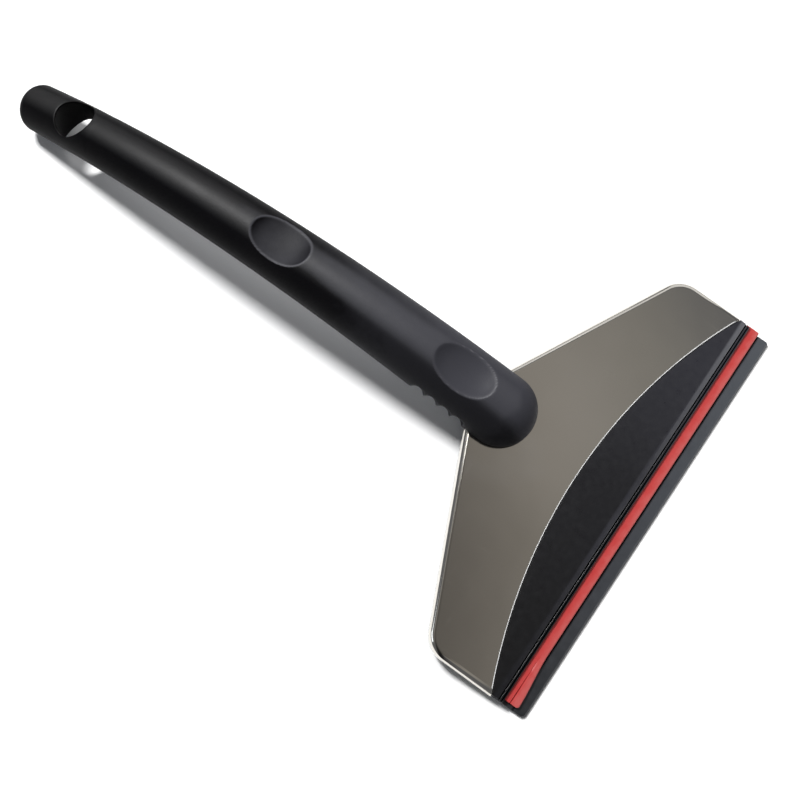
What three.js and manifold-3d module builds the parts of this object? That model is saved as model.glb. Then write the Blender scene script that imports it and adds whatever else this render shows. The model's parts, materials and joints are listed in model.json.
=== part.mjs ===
// Hand ice scraper: a steel-faced head with a rubber blade on an arched round handle.
// Units are millimetres, +Z is up, +X runs from the handle's tip to the blade's edge and +Y runs
// along the blade. The scraper lies on its blade edge and on the tip of its handle.
import * as THREE from 'three';
import { mergeVertices } from 'three/addons/utils/BufferGeometryUtils.js';
import Module from 'manifold-3d';

const wasm = await Module();
wasm.setup();

// Driving dimensions
// Fits: the gap that every seated piece keeps to its seat
const clearance = 0.3;
// Cutters reach past the surface that they cut by this much
const overreach = 1;

// Head outline. Depth is measured back from the blade's front edge, square to it
const headWidth = 171.6;
const steelOverhang = 0.7;
const steelSetback = 14.7;
const headEndLength = 27.6;
const shoulderAngle = THREE.MathUtils.degToRad(64.8);
const shoulderRadius = 11;
const headRearWidth = 26;
const headRearRadius = 4;

// Steel cover: a pressed sheet with a rolled edge and an arched opening at the front
const steelThickness = 0.6;
const steelEdgeRadius = 2.2;
const steelRimHeight = 5;
const archRise = 18.3;

// Blade and red strip, which lie one on the other in the slot
const bladeThickness = 1.6;
const bladeEdgeLean = 0.9;
const redThickness = 1.2;
const redFrontDepth = 5.7;
const redEdgeRadius = 0.6;
const redShortfall = 0.8;

// Slot between the carrier's lip and the bottom plate's jaw. Both reach forward from its rear wall
const slotBeforeSteel = 0.5;
const lipReach = 4.7;
const lipThickness = 0.8;
const lipLength = 2.6;
const lipEdge = 0.3;
const jawReach = 2.2;
const jawThickness = 0.6;
const jawChamfer = 0.6;
const keyWidth = 1;
const keyHeight = 0.7;
const jawKeyFromRear = 1.5;
const lipKeyFromRear = 2.1;

// Carrier: its crescent fills the steel cover's arched opening
const crescentRise = 0.6;
const crescentEdgeLength = 1.8;
const crescentGroove = 0.5;
const bottomPlateThickness = 1.6;

// Handle. The dome's centre lies this far in front of the head's rear edge
const domeInset = 6.7;
const axisRise = 1.6;
const handleLength = 231;
const handleStartSlope = THREE.MathUtils.degToRad(8.7);
const handleBend = THREE.MathUtils.degToRad(34.6);
const handleHeadRadius = 13.8;
const handleTipRadius = 9.5;
const tipCapLength = 7.2;
const handleWall = 2.6;
const hangHoleDiameter = 16.4;
const hangHoleFromTip = 29.1;
const hangHoleLean = THREE.MathUtils.degToRad(1.4);

// Thumb dimples, each as distance behind the dome, length, width and depth
const dimples = [
  { from: 18.9, length: 28.5, width: 16.5, depth: 4.2 },
  { from: 98.9, length: 26, width: 16.5, depth: 4.3 },
];
const dimpleLift = 3;

// Finger grooves round the underside
const grooveCount = 4;
const groovePitch = 6;
const grooveFirst = 10.6;
const grooveDepth = 1.7;
const grooveRadius = 3.4;
const grooveReach = THREE.MathUtils.degToRad(93);

// Bottom cover of the handle
const coverWeb = 1.4;
const coverEndFromTip = 46;
const coverSplitDrop = 5.6;
const cavityStart = 68;
const cavityEndFromTip = 54;

// Neck and tang of the carrier, inside the handle
const neckLength = 14;
const tangWidth = 14;
const tangThickness = 4.4;
const tangEnd = 60;
const tangStart = 2;

// Screws: two hold cover, tang and body together, two hold the cover to the body's bosses
const tangScrewStations = [39, 52];
const bossScrewStations = [78, 150];
const handleScrew = {
  headRadius: 2.8, headFlatRadius: 2.1, headHeight: 1.8, headRimHeight: 1, shankRadius: 1.3, reach: 4,
};
const coverFloorUnderSplit = 2.6;
const bossRadius = 3.8;
const plateScrew = { headRadius: 2.1, headHeight: 1.1, shankRadius: 1, recess: 0.2, roof: 1.2 };
const plateScrewFrontCount = 4;
const plateScrewBehindSlot = 6.8;
const plateScrewFromEnd = 21.8;
const plateScrewBehindShoulder = 7.7;
const plateScrewFromSlant = 29.4;

// Facets
const cornerSteps = 6;
const edgeSteps = 4;
const archSteps = 28;
const roundSides = 32;
const handleSteps = 16;
const cavitySides = 16;
const cavitySteps = 8;
const domeSteps = 7;
const tipSteps = 5;
const screwSides = 14;
const grooveSides = 14;
const grooveSteps = 14;
const grooveCapSteps = 3;
const dimpleSides = 32;
const holeSides = 28;

// Levels above the blade's underside, square to the head
const slotFloor = -clearance;
const redBottom = bladeThickness + clearance;
const redTop = redBottom + redThickness;
const slotRoof = redTop + clearance;
const carrierTop = slotRoof + lipThickness;
const underside = slotFloor - jawThickness;
const plateTop = underside + bottomPlateThickness;
const carrierBottom = plateTop + clearance;
const steelBottom = carrierTop + clearance;
const steelTop = steelBottom + steelThickness;
const crescentTop = carrierTop + crescentRise;
const farBelow = underside - 2 * handleHeadRadius;

// Places that follow from the driving dimensions
const bladeLength = headWidth - 2 * steelOverhang;
const slotRearDepth = steelSetback - slotBeforeSteel;
const lipFrontDepth = slotRearDepth - lipReach;
const jawFrontDepth = slotRearDepth - jawReach;
const lipKeyDepth = slotRearDepth - lipKeyFromRear;
const jawKeyDepth = slotRearDepth - jawKeyFromRear;
const shoulderDepth = steelSetback + headEndLength;
const headRearDepth = shoulderDepth + (headWidth - headRearWidth) / 2 / Math.tan(shoulderAngle);
const archRadius = ((headWidth / 2) ** 2 + archRise ** 2) / (2 * archRise);
const archCentreDepth = steelSetback + archRise - archRadius;
const insideSteel = steelThickness + clearance;
const domeDepth = headRearDepth - domeInset;
const neckFrontDepth = headRearDepth - neckLength;
const axisLevel = steelTop + axisRise;
const handleRadiusOfBend = handleLength / handleBend;
const tipRingStation = handleLength - tipCapLength;
const coverStart = domeInset + coverWeb;
const coverEnd = handleLength - coverEndFromTip;
const cavityEnd = handleLength - cavityEndFromTip;

// Solids: closed meshes are joined and cut as solids, and turned back into geometry
function outwards(geometry) {
  const position = geometry.attributes.position;
  const index = geometry.index.array;
  const corner = [new THREE.Vector3(), new THREE.Vector3(), new THREE.Vector3()];
  let volume = 0;
  for (let i = 0; i < index.length; i += 3) {
    corner.forEach((point, k) => point.fromBufferAttribute(position, index[i + k]));
    volume += corner[0].dot(corner[1].clone().cross(corner[2]));
  }
  if (volume < 0) {
    for (let i = 0; i < index.length; i += 3) {
      [index[i + 1], index[i + 2]] = [index[i + 2], index[i + 1]];
    }
  }
  return geometry;
}

function solidOf(geometry) {
  const bare = geometry.clone();
  bare.deleteAttribute('normal');
  bare.deleteAttribute('uv');
  const merged = outwards(mergeVertices(bare, 1e-5));
  return new wasm.Manifold(new wasm.Mesh({
    numProp: 3,
    vertProperties: new Float32Array(merged.attributes.position.array),
    triVerts: new Uint32Array(merged.index.array),
  }));
}

function geometryOf(solid) {
  const mesh = solid.getMesh();
  const geometry = new THREE.BufferGeometry();
  geometry.setAttribute('position', new THREE.BufferAttribute(new Float32Array(mesh.vertProperties), 3));
  geometry.setIndex(new THREE.BufferAttribute(new Uint32Array(mesh.triVerts), 1));
  geometry.computeVertexNormals();
  return geometry;
}

const joined = (solids) => solids.reduce((whole, solid) => whole.add(solid));
const without = (solid, cutters) => cutters.reduce((rest, cutter) => rest.subtract(cutter), solid);

// A closed skin over a row of rings with the same number of points; each end closes on a point
function skin(rings, startPoint, endPoint) {
  const sides = rings[0].length;
  const points = [...rings.flat(), startPoint, endPoint];
  const index = [];
  for (let ring = 0; ring + 1 < rings.length; ring += 1) {
    for (let side = 0; side < sides; side += 1) {
      const a = ring * sides + side;
      const b = ring * sides + (side + 1) % sides;
      index.push(a, b, a + sides, b, b + sides, a + sides);
    }
  }
  const start = rings.length * sides;
  const last = (rings.length - 1) * sides;
  for (let side = 0; side < sides; side += 1) {
    const next = (side + 1) % sides;
    index.push(start, next, side);
    index.push(start + 1, last + side, last + next);
  }
  const geometry = new THREE.BufferGeometry();
  const flat = points.flatMap((point) => [point.x, point.y, point.z]);
  geometry.setAttribute('position', new THREE.BufferAttribute(new Float32Array(flat), 3));
  geometry.setIndex(index);
  return geometry;
}

// A profile given as [depth, level] pairs, drawn out along the blade
function drawnAcross(profile, width) {
  const shape = new THREE.Shape(profile.map(([depth, level]) => new THREE.Vector2(-depth, level)));
  const geometry = new THREE.ExtrudeGeometry(shape, { depth: width, bevelEnabled: false });
  geometry.rotateX(Math.PI / 2);
  geometry.translate(0, width / 2, 0);
  return solidOf(geometry);
}

// A plan outline given as Vector2 points in X and Y, raised between two levels
function raised(outline, bottom, top) {
  const shape = new THREE.Shape(outline);
  const geometry = new THREE.ExtrudeGeometry(shape, { depth: top - bottom, bevelEnabled: false });
  geometry.translate(0, 0, bottom);
  return solidOf(geometry);
}

function block(fromDepth, toDepth, width, bottom, top) {
  const geometry = new THREE.BoxGeometry(toDepth - fromDepth, width, top - bottom);
  geometry.translate(-(fromDepth + toDepth) / 2, 0, (bottom + top) / 2);
  return solidOf(geometry);
}

// The head's outline, inset from the steel cover's outside, with round shoulders and rear corners.
// The front line is not inset: what stands in front of it is cut or joined there
function headOutline(inset, frontDepth) {
  const half = headWidth / 2;
  const corners = [
    { at: new THREE.Vector2(-frontDepth, -half), radius: 0 },
    { at: new THREE.Vector2(-frontDepth, half), radius: 0 },
    { at: new THREE.Vector2(-shoulderDepth, half), radius: shoulderRadius },
    { at: new THREE.Vector2(-headRearDepth, headRearWidth / 2), radius: headRearRadius },
    { at: new THREE.Vector2(-headRearDepth, -headRearWidth / 2), radius: headRearRadius },
    { at: new THREE.Vector2(-shoulderDepth, -half), radius: shoulderRadius },
  ];
  return corners.flatMap((corner, i) => {
    const before = corners.at(i - 1).at;
    const after = corners[(i + 1) % corners.length].at;
    const along = corner.at.clone().sub(before).normalize();
    const away = after.clone().sub(corner.at).normalize();
    const turn = Math.acos(THREE.MathUtils.clamp(along.dot(away), -1, 1));
    const inward = away.clone().sub(along).normalize();
    if (corner.radius === 0) {
      return [new THREE.Vector2(corner.at.x, corner.at.y - Math.sign(corner.at.y) * inset)];
    }
    const moved = corner.at.clone().addScaledVector(inward, inset / Math.cos(turn / 2));
    const radius = corner.radius - inset;
    const centre = moved.clone().addScaledVector(inward, radius / Math.cos(turn / 2));
    const first = Math.atan2(-along.x, along.y);
    return Array.from({ length: cornerSteps + 1 }, (_, k) => {
      const angle = first + (turn * k) / cornerSteps;
      return new THREE.Vector2(Math.cos(angle), Math.sin(angle)).multiplyScalar(radius).add(centre);
    });
  });
}

// The head's outline raised into a plate whose upper edge is rolled over
function rolledPlate(inset, frontDepth, bottom, top, edgeRadius) {
  const ring = (more, level) => headOutline(inset + more, frontDepth)
    .map((point) => new THREE.Vector3(point.x, point.y, level));
  const rings = [ring(0, bottom)];
  for (let k = 0; k <= edgeSteps; k += 1) {
    const angle = (k / edgeSteps) * Math.PI / 2;
    rings.push(ring(edgeRadius * (1 - Math.cos(angle)), top - edgeRadius * (1 - Math.sin(angle))));
  }
  const middle = -(frontDepth + headRearDepth) / 2;
  return solidOf(skin(rings, new THREE.Vector3(middle, 0, bottom), new THREE.Vector3(middle, 0, top)));
}

// Everything in front of the arch, moved forward by a gap
function frontOfArch(gap, bottom, top) {
  const reach = Math.asin((headWidth / 2 + overreach) / archRadius);
  const outline = Array.from({ length: archSteps + 1 }, (_, k) => {
    const angle = reach * (1 - (2 * k) / archSteps);
    const radius = archRadius - gap;
    return new THREE.Vector2(-archCentreDepth - radius * Math.cos(angle), radius * Math.sin(angle));
  });
  outline.push(
    new THREE.Vector2(overreach, outline.at(-1).y), new THREE.Vector2(overreach, outline[0].y),
  );
  return raised(outline, bottom, top);
}

// Handle: a round bar along an arc, measured by the distance behind the dome's centre
function axisAt(station) {
  const slope = handleStartSlope - station / handleRadiusOfBend;
  const back = handleRadiusOfBend * (Math.sin(handleStartSlope) - Math.sin(slope));
  const rise = handleRadiusOfBend * (Math.cos(slope) - Math.cos(handleStartSlope));
  return {
    centre: new THREE.Vector3(-domeDepth - back, 0, axisLevel + rise),
    back: new THREE.Vector3(-Math.cos(slope), 0, Math.sin(slope)),
    up: new THREE.Vector3(Math.sin(slope), 0, Math.cos(slope)),
    slope,
  };
}

function handleRadius(station) {
  return THREE.MathUtils.lerp(handleHeadRadius, handleTipRadius, station / handleLength);
}

function handleRing(station, radius, shift = 0, sides = roundSides) {
  const { centre, back, up } = axisAt(station);
  return Array.from({ length: sides }, (_, k) => {
    const angle = (k / sides) * Math.PI * 2;
    return centre.clone()
      .addScaledVector(back, shift)
      .addScaledVector(new THREE.Vector3(0, 1, 0), radius * Math.cos(angle))
      .addScaledVector(up, radius * Math.sin(angle));
  });
}

function handleBar() {
  const rings = [];
  for (let k = 1; k < domeSteps; k += 1) {
    const angle = (k / domeSteps) * Math.PI / 2;
    rings.push(handleRing(0, handleHeadRadius * Math.sin(angle), -handleHeadRadius * Math.cos(angle)));
  }
  for (let k = 0; k <= handleSteps; k += 1) {
    const station = (k / handleSteps) * tipRingStation;
    rings.push(handleRing(station, handleRadius(station)));
  }
  for (let k = 1; k < tipSteps; k += 1) {
    const angle = (k / tipSteps) * Math.PI / 2;
    const radius = handleRadius(tipRingStation) * Math.cos(angle);
    rings.push(handleRing(tipRingStation, radius, tipCapLength * Math.sin(angle)));
  }
  const front = axisAt(0);
  const rear = axisAt(tipRingStation);
  return solidOf(skin(
    rings,
    front.centre.clone().addScaledVector(front.back, -handleHeadRadius),
    rear.centre.clone().addScaledVector(rear.back, tipCapLength),
  ));
}

// Everything below a curved sheet that follows the axis at a given drop, between two stations
function belowSheet(drop, fromStation, toStation) {
  const sheet = Array.from({ length: handleSteps + 1 }, (_, k) => {
    const { centre, up } = axisAt(THREE.MathUtils.lerp(fromStation, toStation, k / handleSteps));
    return centre.clone().addScaledVector(up, -drop);
  });
  const away = (station) => {
    const { centre, up } = axisAt(station);
    return centre.clone().addScaledVector(up, -drop - 2 * handleHeadRadius);
  };
  const outline = [...sheet, away(toStation), away(fromStation)];
  return drawnAcross(outline.map((point) => [-point.x, point.z]), 4 * handleHeadRadius);
}

// A profile given as [radius, height] pairs, turned about +Z
function turned(profile) {
  const points = profile.map(([radius, height]) => new THREE.Vector2(radius, height));
  return new THREE.LatheGeometry(points, screwSides).rotateX(Math.PI / 2);
}

// Puts a geometry made about the origin, with +Z as its top, square onto the handle at a station
function ontoHandle(geometry, station) {
  const { centre, back, up } = axisAt(station);
  const across = new THREE.Vector3().crossVectors(up, back);
  geometry.applyMatrix4(new THREE.Matrix4().makeBasis(back, across, up).setPosition(centre));
  return geometry;
}

// A round post square to the handle's axis, between two heights above it
function post(station, radius, bottom, top) {
  const geometry = new THREE.CylinderGeometry(radius, radius, top - bottom, screwSides);
  geometry.rotateX(Math.PI / 2);
  geometry.translate(0, 0, (bottom + top) / 2);
  return solidOf(ontoHandle(geometry, station));
}

// A thumb dimple: an egg that meets the bar's surface at the stated length and width. A wall makes
// it larger on all sides
function dimpleCutter({ from, length, width, depth }, wall = 0) {
  const radius = handleRadius(from);
  const edgeDrop = radius - Math.sqrt(radius ** 2 - (width / 2) ** 2);
  const tall = dimpleLift + depth;
  const wide = width / 2 / Math.sqrt(1 - ((dimpleLift + edgeDrop) / tall) ** 2);
  const long = length / 2 / Math.sqrt(1 - (dimpleLift / tall) ** 2);
  const geometry = new THREE.SphereGeometry(1, dimpleSides, dimpleSides / 2);
  geometry.rotateX(Math.PI / 2);
  geometry.scale(long + wall, wide + wall, tall + wall);
  geometry.translate(0, 0, radius + dimpleLift);
  return solidOf(ontoHandle(geometry, from));
}

// The hollow of the handle, which leaves a wall all round, under the dimples too
function handleCavity() {
  const rings = Array.from({ length: cavitySteps + 1 }, (_, k) => {
    const station = THREE.MathUtils.lerp(cavityStart, cavityEnd, k / cavitySteps);
    return handleRing(station, handleRadius(station) - handleWall, 0, cavitySides);
  });
  const hollow = solidOf(skin(rings, axisAt(cavityStart).centre, axisAt(cavityEnd).centre));
  return without(hollow, dimples.map((dimple) => dimpleCutter(dimple, handleWall)));
}

// A finger groove: a round-ended tube bent about the axis, round the underside
function grooveCutter(station) {
  const middle = handleRadius(station) - grooveDepth + grooveRadius;
  const { centre, back, up } = axisAt(station);
  const across = new THREE.Vector3(0, 1, 0);
  const rings = [];
  const ringAt = (angle, radius, shift) => {
    const out = across.clone().multiplyScalar(Math.sin(angle)).addScaledVector(up, -Math.cos(angle));
    const ahead = across.clone().multiplyScalar(Math.cos(angle)).addScaledVector(up, Math.sin(angle));
    const hub = centre.clone().addScaledVector(out, middle).addScaledVector(ahead, shift);
    return Array.from({ length: grooveSides }, (_, k) => {
      const turn = (k / grooveSides) * Math.PI * 2;
      return hub.clone()
        .addScaledVector(out, radius * Math.cos(turn))
        .addScaledVector(back, radius * Math.sin(turn));
    });
  };
  for (let k = 1; k < grooveCapSteps; k += 1) {
    const bow = (k / grooveCapSteps) * Math.PI / 2;
    rings.push(ringAt(-grooveReach, grooveRadius * Math.sin(bow), -grooveRadius * Math.cos(bow)));
  }
  for (let k = 0; k <= grooveSteps; k += 1) {
    rings.push(ringAt(grooveReach * ((2 * k) / grooveSteps - 1), grooveRadius, 0));
  }
  for (let k = grooveCapSteps - 1; k > 0; k -= 1) {
    const bow = (k / grooveCapSteps) * Math.PI / 2;
    rings.push(ringAt(grooveReach, grooveRadius * Math.sin(bow), grooveRadius * Math.cos(bow)));
  }
  const end = (angle, shift) => ringAt(angle, 0, shift)[0];
  return solidOf(skin(rings, end(-grooveReach, -grooveRadius), end(grooveReach, grooveRadius)));
}

const grooves = Array.from({ length: grooveCount }, (_, k) => grooveCutter(grooveFirst + k * groovePitch));

// The carrier's neck and tang, grown on all sides by a gap to make their pocket in the handle
function neckAndTang(gap) {
  const middle = (tangStart + tangEnd) / 2;
  const { centre: middleCentre } = axisAt(middle);
  const sag = middleCentre.distanceTo(
    axisAt(tangStart).centre.clone().add(axisAt(tangEnd).centre).multiplyScalar(0.5),
  );
  const tangTop = -coverSplitDrop + clearance + sag + tangThickness;
  const tang = new THREE.BoxGeometry(
    tangEnd - tangStart + 2 * gap, tangWidth + 2 * gap, tangThickness + 2 * gap,
  );
  tang.translate(0, 0, tangTop - tangThickness / 2);
  const neckTop = axisLevel + tangTop - sag;
  return joined([
    solidOf(ontoHandle(tang, middle)),
    block(neckFrontDepth - gap, headRearDepth + gap, tangWidth + 2 * gap, carrierBottom, neckTop + gap),
  ]);
}

// Handle screws lie square to the axis: the head's seat is a step in the bottom cover
const screwSeat = -coverSplitDrop - coverFloorUnderSplit;
const screwStations = [...tangScrewStations, ...bossScrewStations];

function handleScrewHole(station) {
  const { shankRadius, headRadius, reach } = handleScrew;
  return joined([
    post(station, shankRadius + clearance, screwSeat - overreach, reach + clearance),
    post(station, headRadius + clearance, -2 * handleHeadRadius, screwSeat),
  ]);
}

function handleScrewSolid(station) {
  const { headRadius, headFlatRadius, headHeight, headRimHeight, shankRadius, reach } = handleScrew;
  const headTop = screwSeat - clearance;
  return solidOf(ontoHandle(turned([
    [0, headTop - headHeight], [headFlatRadius, headTop - headHeight],
    [headRadius, headTop - headRimHeight], [headRadius, headTop],
    [shankRadius, headTop], [shankRadius, reach - shankRadius], [0, reach],
  ]), station));
}

// Bottom plate screws stand square to the head
const frontScrewReach = headWidth / 2 - plateScrewFromEnd;
const slantHalfWidth = headWidth / 2 - plateScrewBehindShoulder * Math.tan(shoulderAngle);
const rearScrewReach = slantHalfWidth - plateScrewFromSlant;
const plateScrewPlaces = [
  ...Array.from({ length: plateScrewFrontCount }, (_, k) => [
    slotRearDepth + plateScrewBehindSlot,
    frontScrewReach * ((2 * k) / (plateScrewFrontCount - 1) - 1),
  ]),
  [shoulderDepth + plateScrewBehindShoulder, -rearScrewReach],
  [shoulderDepth + plateScrewBehindShoulder, rearScrewReach],
];
const plateScrewTop = carrierTop - plateScrew.roof;

const plateScrewSeat = underside + plateScrew.recess;

function plateScrewSolid([depth, y]) {
  const { headRadius, headHeight, shankRadius } = plateScrew;
  return solidOf(turned([
    [0, plateScrewSeat], [headRadius, plateScrewSeat], [shankRadius, plateScrewSeat + headHeight],
    [shankRadius, plateScrewTop], [0, plateScrewTop],
  ]).translate(-depth, y, 0));
}

// The hole keeps the clearance square to the head's 45 degree cone too
function plateScrewHole([depth, y]) {
  const { headRadius, headHeight, shankRadius } = plateScrew;
  const start = underside - overreach;
  const rim = plateScrewSeat + clearance * (Math.SQRT2 - 1);
  return solidOf(turned([
    [0, start], [headRadius + clearance, start], [headRadius + clearance, rim],
    [shankRadius + clearance, rim + headHeight], [shankRadius + clearance, plateScrewTop + clearance],
    [0, plateScrewTop + clearance],
  ]).translate(-depth, y, 0));
}

const plateScrewHoles = plateScrewPlaces.map(plateScrewHole);

// Pieces of the handle. Both end on the steel cover, with the clearance between
const headRoom = rolledPlate(
  -clearance, jawFrontDepth, farBelow, steelTop + clearance, steelEdgeRadius + clearance,
);

// The hang hole is cored square to the mould's parting, so it doesn't follow the handle's slope
function hangHole() {
  const { centre } = axisAt(handleLength - hangHoleFromTip);
  const radius = hangHoleDiameter / 2;
  const geometry = new THREE.CylinderGeometry(radius, radius, 4 * handleTipRadius, holeSides);
  geometry.rotateX(Math.PI / 2);
  geometry.rotateY(-hangHoleLean);
  return solidOf(geometry.translate(centre.x, centre.y, centre.z));
}

function handleBody() {
  const shell = without(handleBar(), [
    belowSheet(coverSplitDrop, coverStart, coverEnd), handleCavity(),
  ]);
  const roof = (station) => handleRadius(station) - handleWall / 2;
  const bosses = bossScrewStations.map((station) => (
    post(station, bossRadius, -coverSplitDrop + clearance, roof(station))
  ));
  return without(joined([shell, ...bosses]), [
    headRoom, neckAndTang(clearance), hangHole(),
    ...dimples.map((dimple) => dimpleCutter(dimple)), ...grooves, ...screwStations.map(handleScrewHole),
  ]);
}

function handleBottomCover() {
  const strip = handleBar().intersect(
    belowSheet(coverSplitDrop + clearance, coverStart + clearance, coverEnd - clearance),
  );
  const tubes = bossScrewStations.map((station) => (
    post(station, bossRadius, screwSeat - handleWall, -coverSplitDrop - clearance)
  ));
  const trough = strip.subtract(handleCavity());
  return without(joined([trough, ...tubes]), [
    headRoom, ...grooves, ...screwStations.map(handleScrewHole),
  ]);
}

// Pieces of the head
function steelCover() {
  const outside = rolledPlate(0, jawFrontDepth, steelTop - steelRimHeight, steelTop, steelEdgeRadius);
  const inside = rolledPlate(
    steelThickness, jawFrontDepth, farBelow, steelBottom, steelEdgeRadius - steelThickness,
  );
  const notch = block(
    neckFrontDepth - clearance, headRearDepth + steelThickness, tangWidth + 2 * clearance, farBelow, axisLevel,
  );
  return without(outside, [inside, frontOfArch(0, farBelow, axisLevel), notch]);
}

function headCarrier() {
  const plate = rolledPlate(
    insideSteel, slotRearDepth, carrierBottom, carrierTop, steelEdgeRadius - insideSteel,
  );
  const grooveFloor = carrierTop - crescentGroove;
  const grooveFront = lipFrontDepth + lipLength;
  const bar = drawnAcross([
    [lipFrontDepth, slotRoof], [lipFrontDepth, carrierTop - lipEdge], [lipFrontDepth + lipEdge, carrierTop],
    [grooveFront - lipEdge, carrierTop], [grooveFront, grooveFloor],
    [grooveFront + crescentGroove, grooveFloor],
    ...Array.from({ length: edgeSteps + 1 }, (_, k) => {
      const angle = (k / edgeSteps) * Math.PI / 2;
      return [
        grooveFront + crescentGroove + crescentEdgeLength * (1 - Math.cos(angle)),
        carrierTop + crescentRise * Math.sin(angle),
      ];
    }),
    [steelSetback + archRise, crescentTop], [steelSetback + archRise, carrierBottom],
    [slotRearDepth, carrierBottom], [slotRearDepth, slotRoof],
    [lipKeyDepth + keyWidth / 2, slotRoof], [lipKeyDepth + keyWidth / 2, slotRoof - keyHeight],
    [lipKeyDepth - keyWidth / 2, slotRoof - keyHeight], [lipKeyDepth - keyWidth / 2, slotRoof],
  ], bladeLength);
  const crescent = bar.intersect(frontOfArch(clearance, farBelow, axisLevel));
  return without(joined([plate, crescent, neckAndTang(0)]), [
    ...plateScrewHoles, ...tangScrewStations.map(handleScrewHole),
  ]);
}

function headBottomPlate() {
  const plate = raised(headOutline(insideSteel, slotRearDepth), underside, plateTop);
  const jawRearDepth = slotRearDepth + overreach;
  const jaw = drawnAcross([
    [jawFrontDepth, slotFloor], [jawFrontDepth, underside + jawChamfer / 2],
    [jawFrontDepth + jawChamfer, underside],
    [jawRearDepth, underside], [jawRearDepth, slotFloor],
    [jawKeyDepth + keyWidth / 2, slotFloor], [jawKeyDepth + keyWidth / 2, slotFloor + keyHeight],
    [jawKeyDepth - keyWidth / 2, slotFloor + keyHeight], [jawKeyDepth - keyWidth / 2, slotFloor],
  ], bladeLength);
  return without(joined([plate, jaw]), plateScrewHoles);
}

// The two strips of the blade, each with a groove for its key along the slot
const stripRear = slotRearDepth - clearance;
const keyGroove = (depth) => [depth - keyWidth / 2 - clearance, depth + keyWidth / 2 + clearance];

function scraperBlade() {
  const [grooveFront, grooveRear] = keyGroove(jawKeyDepth);
  const grooveRoof = slotFloor + keyHeight + clearance;
  return drawnAcross([
    [0, 0], [bladeEdgeLean, bladeThickness], [stripRear, bladeThickness], [stripRear, 0],
    [grooveRear, 0], [grooveRear, grooveRoof], [grooveFront, grooveRoof], [grooveFront, 0],
  ], bladeLength);
}

function redStrip() {
  const [grooveFront, grooveRear] = keyGroove(lipKeyDepth);
  const grooveFloor = slotRoof - keyHeight - clearance;
  const strip = drawnAcross([
    [redFrontDepth, redBottom],
    ...Array.from({ length: edgeSteps + 1 }, (_, k) => {
      const angle = (k / edgeSteps) * Math.PI / 2;
      return [
        redFrontDepth + redEdgeRadius * (1 - Math.cos(angle)),
        redTop - redEdgeRadius * (1 - Math.sin(angle)),
      ];
    }),
    [grooveFront, redTop], [grooveFront, grooveFloor], [grooveRear, grooveFloor], [grooveRear, redTop],
    [stripRear, redTop], [stripRear, redBottom],
  ], bladeLength - redShortfall);
  return strip.translate([0, redShortfall / 2, 0]);
}

// Materials
const mattePlastic = { color: 0x1d1c1f, roughness: 0.62, metalness: 0 };
const satinPlastic = { color: 0x232326, roughness: 0.34, metalness: 0 };
const polishedSteel = { color: 0xb9b4ab, roughness: 0.12, metalness: 1 };
const bladeRubber = { color: 0x33383f, roughness: 0.55, metalness: 0 };
const redRubber = { color: 0xcf3d39, roughness: 0.5, metalness: 0 };
const zincSteel = { color: 0x8d9094, roughness: 0.35, metalness: 1 };

function piece(name, solid, finish) {
  const mesh = new THREE.Mesh(geometryOf(solid), new THREE.MeshStandardMaterial(finish));
  mesh.name = name;
  return mesh;
}

// The scraper, square to its head
const scraper = new THREE.Group();
scraper.add(
  piece('handle_body', handleBody(), mattePlastic),
  piece('handle_bottom_cover', handleBottomCover(), mattePlastic),
  piece('steel_cover', steelCover(), polishedSteel),
  piece('head_carrier', headCarrier(), satinPlastic),
  piece('head_bottom_plate', headBottomPlate(), satinPlastic),
  piece('scraper_blade', scraperBlade(), bladeRubber),
  piece('red_strip', redStrip(), redRubber),
);
screwStations.forEach((station, k) => {
  scraper.add(piece(`handle_screw_${k + 1}`, handleScrewSolid(station), zincSteel));
});
plateScrewPlaces.forEach((place, k) => {
  scraper.add(piece(`plate_screw_${k + 1}`, plateScrewSolid(place), zincSteel));
});

// At rest the blade's front edge and the handle's tip touch the surface, so the head is tilted
function restTilt() {
  const tilts = Array.from({ length: handleSteps + 1 }, (_, k) => {
    const station = (k / handleSteps) * tipRingStation;
    const { centre } = axisAt(station);
    const reach = Math.hypot(centre.x, centre.z);
    return Math.asin(handleRadius(station) / reach) - Math.atan2(centre.z, -centre.x);
  });
  return Math.max(...tilts);
}
scraper.rotation.y = restTilt();

// The origin lies under the middle of the whole, on the surface that it rests on
const model = new THREE.Group();
model.add(scraper);
const box = new THREE.Box3().setFromObject(model, true);
const middle = box.getCenter(new THREE.Vector3());
scraper.position.set(-middle.x, -middle.y, -box.min.z);

export default model;
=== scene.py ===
# %% [markdown]
# # A hand ice scraper, built piece by piece
# A steel-faced head with a rubber blade sits on an arched black handle. The solids of the scraper are
# already there as a fixed frame. Each step below replaces some of them with a finer mesh and gives it the
# finish of the real piece. Every piece lies where its solid lies, so nothing has to be fitted by eye.

# %% Load the frame
import json
import math

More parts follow.
